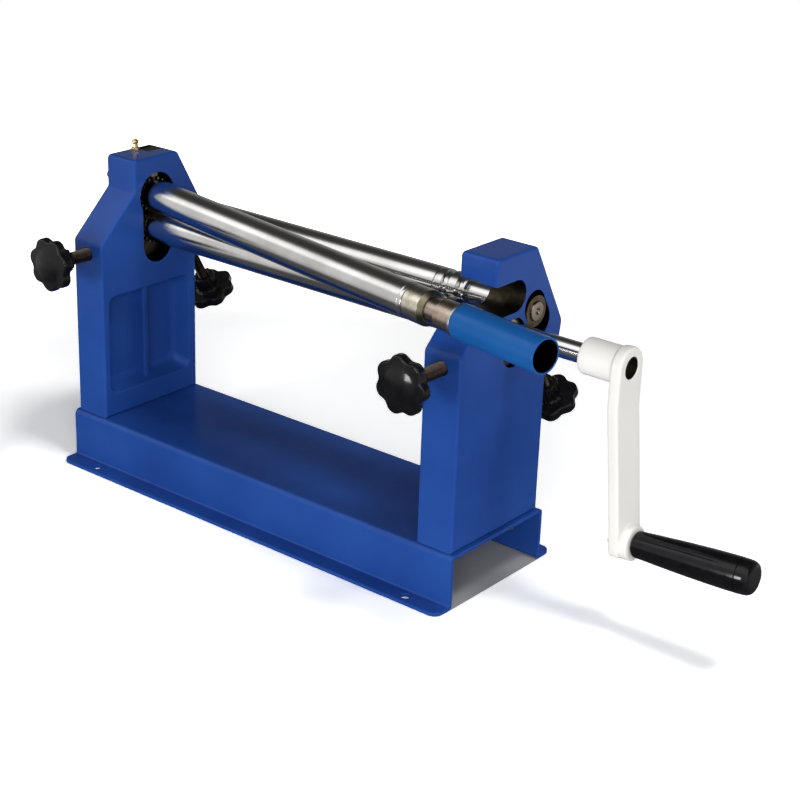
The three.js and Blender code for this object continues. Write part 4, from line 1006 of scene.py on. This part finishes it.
plug = lathe("plug", [
    (PLUG_START, BUSH_BORE), (PLUG_START, TUBE_RADIUS, 0.4), (PLUG_START + PLUG_RIM, TUBE_RADIUS, 0.3),
    (PLUG_START + PLUG_RIM, PLUG_RADIUS), (PLUG_END, PLUG_RADIUS, 0.5), (PLUG_END, BUSH_BORE),
], UPPER, 96, True)
seat(smooth(plug, 30), "tube_plug")

tube_start = PLUG_START + PLUG_RIM + 0.2
tube_end = tube_start + TUBE_LENGTH
tube_bore = TUBE_RADIUS - TUBE_WALL


def in_tube(p, n):
    return math.hypot(p.y, p.z) < tube_bore + TOUCH and p.x < tube_end - 0.4


tube = lathe("tube", [
    (tube_start, tube_bore, 0.2), (tube_start, TUBE_RADIUS, 0.4), (tube_end, TUBE_RADIUS, 0.6),
    (tube_end, tube_bore, 0.3),
], UPPER, 96, True)
# The bore takes the near-black iron: painted shade inside the tube.
bare(tube, in_tube, "oily_iron", "tube_enamel")
seat(smooth(tube, 30), "handle_tube")
ring("handle_washer", UPPER, PLUG_END + 0.2, PLUG_END + 2.2, 9, 3.3)
print("tube", round(tube_start), "to", round(tube_end), "mm along the roll")

# %% [markdown]
# ## Star knobs
# The knobs are seven-lobed mouldings with a large domed face, a rounded rim, and a ribbed hub for
# the fingertips. Each is one lathe-like skin whose radius changes with the angle, so lobes, rim
# and ribs run into each other without seams, as in a mould.

# %% Knobs
LOBES, RIBS = 7, 14
KNOB_RADIUS = 20.8
FLUTE, FLUTE_SHARPNESS = 2.7, 1.35
KNOB_DEPTH = 10.0
KNOB_RIM, KNOB_BACK = 2.4, 1.6
DOME, DOME_REACH = 2.4, 14.0
HUB, HUB_LENGTH = 9.0, 12.5
RIB_HALF, RIB_STEEPNESS = 0.45, 2.2
BORE_FLOOR = 14
KNOB_SIDES = LOBES * 30


def star(drawn, phase):
    """Radius of the lobed rim at each angle, drawn in by so much."""
    def radius(t):
        wave = 0.5 + 0.5 * math.cos(LOBES * (t - math.radians(phase)))
        return KNOB_RADIUS - drawn - FLUTE * wave ** FLUTE_SHARPNESS
    return radius


def ribbed(drawn):
    """Radius of the ribbed hub at each angle, drawn in by so much."""
    def radius(t):
        wave = math.cos(RIBS * t)
        return HUB - drawn - RIB_HALF + RIB_HALF * max(-1, min(1, RIB_STEEPNESS * wave))
    return radius


def knob(place, face, phase, bore):
    """A knob along local X from its face, where X points into the machine."""
    outline = [(face, 0)]
    for k in range(1, 7):
        outline.append((face + DOME * (k / 6) ** 2, DOME_REACH * k / 6))
    for k in range(8):
        t = math.pi / 2 * (0.3 + 0.7 * k / 7)
        along = face + DOME + KNOB_RIM * (0.89 - math.cos(t))
        outline.append((along, star(KNOB_RIM * (1 - math.sin(t)), phase)))
    back = face + KNOB_DEPTH
    for k in range(6):
        t = math.pi / 2 * k / 5
        along = back - KNOB_BACK * (1 - math.sin(t))
        outline.append((along, star(KNOB_BACK * (1 - math.cos(t)), phase)))
    outline += [(back, HUB + 2.2), (back + 0.5, HUB + 0.7), (back + 2.2, ribbed(0))]
    end = back + HUB_LENGTH
    outline += [(end - 1.2, ribbed(0)), (end - 0.3, ribbed(0.5)), (end, ribbed(1.4))]
    floor = face + BORE_FLOOR
    outline += [(end, bore + 0.4), (end - 0.4, bore), (floor, bore), (floor, 0)]
    return smooth(turned("knob", outline, place, KNOB_SIDES), 50)


print(LOBES, "lobed knobs of", 2 * KNOB_RADIUS, "mm")

# %% [markdown]
# ## Adjusting screws
# A screw thread is a helix, so its radius depends on both the angle and the place along the axis.
# Eight rings a turn are enough for a clean flank. The tip is turned plain, where it pushes. Screw
# and knob share a place, so that a knob always sits square on its screw.

# %% Threads
THREAD_RINGS = 8
THREAD_DEPTH = 0.61
FLANK_SLOPE, CREST = 2.6, 0.15


def screw(place, low, high, radius, pitch, tip):
    """Threaded rod along X with a plain tip, given as corners from its end."""
    def flank(along):
        def reach(t):
            wave = (along / pitch - t / (2 * math.pi)) % 1
            depth = max(0, min(1, FLANK_SLOPE * abs(wave - 0.5) - CREST))
            return radius - THREAD_DEPTH * pitch * depth
        return reach
    outline = [(low, 0), (low, radius - 1.2)]
    for i in range(round((high - low - 2) / pitch * THREAD_RINGS) + 1):
        along = low + 1 + i * pitch / THREAD_RINGS
        outline.append((along, flank(along)))
    return smooth(turned("screw", outline + tip, place, 40), 50)


# %% Screws and knobs in place
FRONT_TIP_Y = 2.4
FRONT_FACE = {"left": -93.2, "right": -97.8}
FRONT_PITCH, REAR_PITCH = 1.5, 1.25
FRONT_THREAD = (-82, -4.4)
FRONT_TIP = [(-4.4, 3.0), (-2.2, 3.0), (-2.2, 4.0), (-2.0, 4.2), (-0.2, 4.2), (0, 4.0), (0, 0)]
REAR_FACE, REAR_SCREW_END = 101.3, 87.0
REAR_TIP = [(-3, 3.4), (-2.6, 3.0), (-0.3, 3.0), (0, 2.7), (0, 0)]
REAR_BUSH = {"left": 9.5, "right": 11.4}
PHASES = {"front_left": 25, "front_right": 42, "rear_left": 10, "rear_right": 35}
KNOB_PLAY = 0.2
ALONG_Y = Matrix.Rotation(math.pi / 2, 4, "Z")

for side, sign in (("left", -1), ("right", 1)):
    place = MACHINE @ shift(sign * SCREW_X, FRONT_TIP_Y, FRONT_SCREW_Z) @ ALONG_Y
    rod = screw(place, *FRONT_THREAD, FRONT_SCREW, FRONT_PITCH, FRONT_TIP)
    seat(rod, "front_screw_" + side)
    face = FRONT_FACE[side] - FRONT_TIP_Y
    turned_by = 270 + PHASES["front_" + side]
    seat(knob(place, face, turned_by, FRONT_SCREW + KNOB_PLAY), "front_knob_" + side)

    start = REAR_BUSH[side] + 0.2
    axis = Vector((REAR_Y, REAR_Z)) - SLOT_UP * start
    place = MACHINE @ shift(sign * SCREW_X, axis.x, axis.y) @ SLANT @ ALONG_Y
    rod = screw(place, start - REAR_SCREW_END, REAR_TIP[0][0], REAR_SCREW, REAR_PITCH, REAR_TIP)
    seat(rod, "rear_screw_" + side)
    turned_by = 270 + PHASES["rear_" + side]
    seat(knob(place, start - REAR_FACE, turned_by, REAR_SCREW + KNOB_PLAY), "rear_knob_" + side)
print("four screws with their knobs")

# %% [markdown]
# ## The crank
# The crank is a white casting: a hub on the shaft and a flat arm that bends outwards. Its foot is
# square with rounded corners, and the boss of the grip's axle stands out a little below it. The arm
# is built flat, as rings drawn in from that outline, and every point is then pushed out by a bend
# that depends on its height. Hub, arm and boss are fused by a fine remesh and relaxed a little,
# which leaves the soft fillets that a thick coat of enamel has. Bevels would need each seam picked.

# %% Outline and bend of the arm
HUB_RADIUS = 12.8
HUB_EDGE = 1.4
CRANK_INNER = OUTER + 58.5
CRANK_OUTER = CRANK_INNER + 35
ARM_RADIUS = 14.3
ARM_THICK = 8.3
ARM_INNER = CRANK_OUTER - ARM_THICK
ARM_OFFSET = 8.6
ARM_RIM = 1.8
REACH = 121.7
ARM_CORNER = 5.0
CORNER_Z = REACH + 9.0 - ARM_CORNER
CORNER_STEPS, STRAIGHT_STEPS = 16, 60
grip_lean = math.atan2(grip_axis.z, grip_axis.x)
bend_line = rounded([
    (30, ARM_INNER), (-26.7, ARM_INNER, 26), (-REACH + 10, ARM_INNER + ARM_OFFSET, 26),
    (-REACH - 20, ARM_INNER + ARM_OFFSET + 30 * math.tan(grip_lean)),
], step=2)


def bend_at(z):
    """Place along X of the arm's inner face at a height."""
    for one, two in zip(bend_line, bend_line[1:]):
        if z >= two.x:
            return one.y + (two.y - one.y) * (one.x - z) / max(1e-9, one.x - two.x)
    return bend_line[-1].y


def quarter(steps):
    """Angles of a quarter turn in equal steps."""
    return [math.pi / 2 * k / steps for k in range(steps + 1)]


def arm_loop(drawn):
    """The arm's outline, drawn in: round at the hub, square with rounded corners at the foot."""
    radius, corner = ARM_RADIUS - drawn, ARM_CORNER - drawn
    side = [(radius * math.sin(t), radius * math.cos(t)) for t in quarter(CORNER_STEPS)]
    side += [(radius, -CORNER_Z * k / STRAIGHT_STEPS) for k in range(1, STRAIGHT_STEPS)]
    for t in quarter(CORNER_STEPS):
        side.append((radius - corner + corner * math.cos(t), -CORNER_Z - corner * math.sin(t)))
    side.append((0, -CORNER_Z - corner))
    return side + [(-y, z) for y, z in side[-2:0:-1]]


print("arm bends out by", ARM_OFFSET, "mm, foot", round(CORNER_Z + ARM_CORNER, 1), "mm down")


# %% Arm
def arm():
    levels = [(ARM_RIM * (1 - math.sin(t)), ARM_RIM * (1 - math.cos(t))) for t in quarter(4)]
    levels += [(drawn, ARM_THICK - rise) for drawn, rise in reversed(levels)]
    vertices, loops = [], []
    for drawn, rise in levels:
        loop = arm_loop(drawn)
        loops.append(list(range(len(vertices), len(vertices) + len(loop))))
        vertices += [(bend_at(z) + rise, y, z) for y, z in loop]
    faces = skin(loops)
    for loop in (loops[0], loops[-1]):
        count = len(loop)
        for k in range(count // 2):
            strip = [loop[k], loop[k + 1], loop[-k - 1], loop[-k % count]]
            faces.append(list(dict.fromkeys(strip)))
    return make("arm", vertices, faces, LOWER)


# %% Hub, boss and bores
BOSS_RADIUS, BOSS_END = 12.3, 5.3
CRANK_BORE, CRANK_MOUTH = 7.6, 9
SHAFT_HOLE = JOURNAL + 0.1
AXLE = 4
AXLE_HOLE = AXLE + 0.1
SET_SCREW_AT, SET_SCREW_HOLE = 10, 3.15
VOXEL = 0.6


def fused(body):
    """One skin over joined solids, with soft fillets where they meet."""
    remesh = body.modifiers.new("remesh", "REMESH")
    remesh.mode = "VOXEL"
    remesh.voxel_size = VOXEL * MM
    relax = body.modifiers.new("relax", "SMOOTH")
    relax.factor = 0.5
    relax.iterations = 4
    apply_all(body)
    return body


def in_bore(p, n):
    return p.x > SHAFT_END - 1 and math.hypot(p.y, p.z) < CRANK_BORE + 0.2


def crank():
    hub = lathe("hub", [
        (CRANK_INNER, 0), (CRANK_INNER, HUB_RADIUS, HUB_EDGE), (CRANK_OUTER, HUB_RADIUS, HUB_EDGE),
        (CRANK_OUTER, 0),
    ], LOWER)
    boss = lathe("boss", [
        (-4, 0), (-4, BOSS_RADIUS), (BOSS_END, BOSS_RADIUS, 1.2), (BOSS_END, 0),
    ], GRIP)
    body = fused(carve(arm(), hub, boss, how="UNION"))
    shaft = lathe("bore", [
        (CRANK_INNER - 1, 0), (CRANK_INNER - 1, SHAFT_HOLE), (SHAFT_END + 0.1, SHAFT_HOLE),
        (SHAFT_END + 0.1, CRANK_BORE), (CRANK_OUTER - 0.6, CRANK_BORE),
        (CRANK_OUTER + 1, CRANK_MOUTH), (CRANK_OUTER + 1, 0),
    ], LOWER)
    axle_hole = lathe("bore", [(-16, 0), (-16, AXLE_HOLE), (6, AXLE_HOLE), (6, 0)], GRIP, 48)
    set_hole = circle(CRANK_INNER + SET_SCREW_AT, 0, SET_SCREW_HOLE, 32)
    set_hole = slab("hole", set_hole, 6, 14, turn="Y", place=LOWER)
    carve(body, shaft, axle_hole, set_hole)
    return smooth(bare(body, in_bore, "cast_iron", "white_enamel"), 50)


seat(crank(), "crank_arm")
print("crank of", round(REACH), "mm reach")

# %% [markdown]
# ## The grip
# The grip is a hollow black moulding that swells towards its free end and spins on a steel axle.
# A cap closes it, with a fine groove where the two meet.

# %% Grip, cap and axle
GRIP_START, GRIP_END, GRIP_TIP = 5.5, 84.5, 94.5
GRIP_BORE, NUT_ROOM, NUT_FLOOR = 4.15, 7.2, 76.3
BELLY_STEP = 5.5
WAIST, SWELL, SWELL_REACH = 9.1, 2.9, 1.15
AXLE_START, AXLE_HEAD, AXLE_END = -13.3, 76.5, 79.5


def swell(along):
    """The grip's radius, which grows from its waist and levels off towards the cap."""
    part = min(1, (along - GRIP_START) / (GRIP_TIP - GRIP_START) * SWELL_REACH)
    return WAIST + SWELL * math.sin(math.pi / 2 * part)


belly = [
    (GRIP_START + 1.4 + k * BELLY_STEP, swell(GRIP_START + k * BELLY_STEP)) for k in range(1, 14)
]
grip = lathe("grip", [
    (GRIP_START, GRIP_BORE), (GRIP_START, 7.7, 0.5), (GRIP_START + 1.4, 9.2, 0.8), *belly,
    (GRIP_END, swell(GRIP_END), 0.5), (GRIP_END, NUT_ROOM), (NUT_FLOOR, NUT_ROOM),
    (NUT_FLOOR, GRIP_BORE),
], GRIP, 96, True)
seat(smooth(grip, 30), "hand_grip")

cap_radius = swell(GRIP_TIP)
cap = lathe("cap", [
    (GRIP_END - 4, 0), (GRIP_END - 4, 7.05, 0.3), (GRIP_END + 0.2, 7.05),
    (GRIP_END + 0.2, cap_radius, 0.6), (GRIP_TIP - 3.4, cap_radius - 0.3, 6),
    (GRIP_TIP - 1.2, cap_radius - 1.5, 2), (GRIP_TIP, cap_radius - 4.2, 4), (GRIP_TIP, 0),
], GRIP)
seat(smooth(cap, 30), "grip_cap")

axle = lathe("axle", [
    (AXLE_START, 0), (AXLE_START, AXLE, 0.4), (AXLE_HEAD, AXLE), (AXLE_HEAD, 6.2, 0.3),
    (AXLE_END, 6.2, 0.3), (AXLE_END, 0),
], GRIP, 64)
seat(smooth(axle, 30), "grip_axle")
print("grip", round(GRIP_TIP - GRIP_START), "mm long")

# %% [markdown]
# ## Nipple, screws and the hidden works
# The grease nipple is turned brass on a small hexagon. The pieces inside the castings are simple
# solids already, so they keep their CAD form and get welded, bevelled copies.

# %% Grease nipple
NIPPLE_FLATS = 6.2
nipple_x = (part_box("grease_nipple")[0].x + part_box("grease_nipple")[1].x) / 2 / MM
UPRIGHT = Matrix.Rotation(-math.pi / 2, 4, "Y")
nipple_place = MACHINE @ shift(nipple_x, PINCH_Y, FRAME_TOP + 0.2) @ UPRIGHT


def hexagon(flats):
    """Radius of a hexagon at each angle, from its width across flats."""
    return lambda t: flats / 2 / math.cos((t + math.pi / 6) % (math.pi / 3) - math.pi / 6)


nipple = turned("nipple", [
    (-5.7, 0), (-5.7, 3), (0, 3), (0, hexagon(NIPPLE_FLATS - 0.1)), (0.3, hexagon(NIPPLE_FLATS)),
    (1.9, hexagon(NIPPLE_FLATS)), (2.3, 2.9), (2.6, 2.3), (3.2, 2.1), (5.2, 1.8), (5.6, 1.9),
    (6.0, 2.4), (6.5, 2.7), (7.4, 2.6), (8.1, 2.0), (8.55, 1.1), (8.6, 0.7), (8.3, 0),
], nipple_place, 48)
seat(smooth(nipple, 40), "grease_nipple")

# %% Small pieces
SMALL = ("screw", "ring", "key", "gear")
FINE_BEVEL, BEVEL = 0.15, 0.3

for node in frame["nodes"]:
    if node + "_fine" not in seated:
        small = any(word in node for word in SMALL)
        refined(node, FINE_BEVEL if small else BEVEL, "oily_steel" if "gear" in node else None)
print(len(seated), "fine pieces for", len(frame["nodes"]), "nodes")

# %% [markdown]
# ## Camera
# The camera stands where the photographer stood, in front and to the right, a little above. Its
# place, lens and lean were worked out from the straight edges of the machine.

# %% Camera
CAMERA_MM = Vector((846.9, -946.1, 611.7))
AZIMUTH, ELEVATION, LEAN = (math.radians(angle) for angle in (38.37, 22.38, 2.05))
LENS, SENSOR = 82.268, 36.0
SIGHT = 20

level = math.cos(ELEVATION)
back = Vector((math.sin(AZIMUTH) * level, -math.cos(AZIMUTH) * level, math.sin(ELEVATION)))
right_way = (-back).cross(Vector((0, 0, 1))).normalized()
up_way = right_way.cross(-back)
across = right_way * math.cos(LEAN) + up_way * math.sin(LEAN)
upward = up_way * math.cos(LEAN) - right_way * math.sin(LEAN)
camera_data = bpy.data.cameras.new("camera")
camera_data.lens = LENS
camera_data.sensor_width = SENSOR
camera_data.clip_end = SIGHT
camera = bpy.data.objects.new("camera", camera_data)
bpy.context.scene.collection.objects.link(camera)
turned_to = Matrix((across, upward, back)).transposed()
camera.matrix_world = MACHINE @ Matrix.Translation(CAMERA_MM * MM) @ turned_to.to_4x4()
bpy.context.scene.camera = camera
print("camera", [round(v, 3) for v in camera.matrix_world.translation])

# %% [markdown]
# ## Floor
# The photograph is a studio cut-out: a white ground with soft shadows. To the camera the floor is
# written as white, and farther out it glows white by itself, as a lit backdrop does. Steel and
# enamel mirror a darker floor, so that their undersides don't wash out. Under the base the camera
# sees a grey floor: a real one lies in the base's own shadow, darker than a white ground can get
# there, and shows through the open ends. The mask is the base's plan, by the floor's own X and Y.

# %% Floor
FLOOR_RADIUS = 1600
FLOOR_SIDES = 64
LIT, MIRRORED = (0.8, 0.8, 0.8), (0.14, 0.14, 0.145)
OPEN, UNDER_BASE = (1.68, 1.68, 1.69), (0.35, 0.35, 0.36)
GLOW_START, GLOW_FULL = 0.42, 0.8
MIRRORED_GLOW = 0.6

floor_rim = [(p.x, p.y, 0) for p in circle(0, 0, FLOOR_RADIUS, FLOOR_SIDES)]
floor = make("floor", floor_rim, [list(range(FLOOR_SIDES))])
ground = Finish("floor", LIT, 0.9, Specular_IOR_Level=0.0, Emission_Strength=1.0)
seen = ground.node("LightPath", output="Is Camera Ray")
shiny = ground.node("LightPath", output="Is Glossy Ray")
away = ground.node("VectorMath", {"operation": "LENGTH"}, {0: ground.coordinates()}, "Value")
glow = ground.between(away, GLOW_START, GLOW_FULL) * (seen + MIRRORED_GLOW * shiny)
lit = ground.mix(shiny, LIT, MIRRORED)
beyond_x, beyond_y = (
    abs(ground.node("SeparateXYZ", {}, {0: ground.coordinates()}, axis)) > reach * MM
    for axis, reach in (("X", half_length), ("Y", wall))
)
open_ground = beyond_x.calculate("MAXIMUM", beyond_x, beyond_y)
paper = ground.mix(open_ground, UNDER_BASE, OPEN)
ground.set({"Base Color": ground.mix(seen, lit, paper)})
ground.set({"Emission Color": ground.mix(glow, (0, 0, 0), (1, 1, 1))})
floor.data.materials.append(ground.material)
print("floor of", 2 * FLOOR_RADIUS * MM, "m")

# %% [markdown]
# ## Sky
# Bare steel shows its surroundings. The sky is a set of bands from behind, over the top, to the
# front: dark behind, a bright softbox high in front and a grey wall below it. The bands run along
# the rolls, so each roll shows them as its streaks. Only mirrors see the bands. Everything else is
# lit by a faint plain sky, and the camera sees white.


# %% Sky
class Sky(Finish):
    """The world, built with the same node methods as a finish."""

    def __init__(self, name):
        world = bpy.data.worlds.new(name)
        bpy.context.scene.world = world
        world.use_nodes = True
        self.nodes = world.node_tree.nodes
        self.links = world.node_tree.links
        self.nodes.clear()

    def light(self, color, strength):
        return self.node("Background", {}, {"Color": color, "Strength": strength})

    def choose(self, ray, usual, special):
        """One light for a kind of ray and another for the rest."""
        return self.node("MixShader", {}, {0: self.node("LightPath", output=ray), 1: usual, 2: special})


SKY_BANDS = [
    (0, 0.18), (18, 0.14), (32, 0.06), (48, 0.03), (79, 0.03), (94, 0.12), (106, 0.8), (122, 1.0),
    (134, 0.95), (146, 0.52), (195, 0.48), (225, 0.1), (330, 0.1), (350, 0.18),
]
WHITE = (1, 1, 1)
MIRRORED_SKY, PLAIN_SKY, CAMERA_SKY = 1.7, 0.1, 1.0

sky = Sky("studio")
way = sky.node("TexCoord", output="Generated")
upwards = sky.node("SeparateXYZ", {}, {0: way}, "Z")
backwards = sky.node("SeparateXYZ", {}, {0: way}, "Y")
turn = sky.node("Math", {"operation": "ARCTAN2"}, {0: upwards, 1: backwards}) / (2 * math.pi)
turn = sky.node("Math", {"operation": "FRACT"}, {0: turn})
stops = [(at / 360, (strength,) * 3) for at, strength in SKY_BANDS]
bands = sky.node("ValToRGB", {"stops": stops}, {0: turn})
plain = sky.light(WHITE, PLAIN_SKY)
mirrored = sky.light(bands, MIRRORED_SKY)
to_steel = sky.choose("Is Glossy Ray", plain, mirrored)
to_all = sky.choose("Is Camera Ray", to_steel, sky.light(WHITE, CAMERA_SKY))
sky.node("OutputWorld", {}, {0: to_all}, None)
print("sky of", len(SKY_BANDS), "bands")

# %% [markdown]
# ## Lamps
# Five soft lamps stand round the machine. The key is low in front and brings out the castings'
# front faces. The side key and the fill light the right-hand faces, the top lamp the decks, and the
# one behind keeps the back readable when the model is turned. Only the key shows in mirrors: it
# gives knobs and grip their one highlight. The others would draw streaks on the rolls, which already
# have theirs from the sky.

# %% Lamps
TARGET = (0.0, 0.06, 0.12)
WIDE = (1.2, 0.7)
LAMPS = {
    "key": ((-0.28, -1.95, 0.24), (0.45, 0.6), 20, True),
    "side key": ((1.25, -1.5, 0.78), WIDE, 23.5, False),
    "fill": ((2.0, -0.1, 0.45), WIDE, 8, False),
    "top": ((1.2, 0.2, 2.9), (0.6, 0.6), 32, False),
    "behind": ((-1.4, 2.0, 0.5), WIDE, 16, False),
}


def lamp(name, where, size, power, glint):
    """Soft rectangular lamp aimed at the machine."""
    data = bpy.data.lights.new(name, "AREA")
    data.shape = "RECTANGLE"
    data.size, data.size_y = size
    data.energy = power
    made = bpy.data.objects.new(name, data)
    bpy.context.scene.collection.objects.link(made)
    made.location = where
    made.rotation_euler = (Vector(TARGET) - Vector(where)).to_track_quat("-Z", "Y").to_euler()
    made.visible_glossy = glint


for name, settings in LAMPS.items():
    lamp(name, *settings)
bpy.context.scene.view_settings.view_transform = "Standard"
print(len(LAMPS), "lamps")
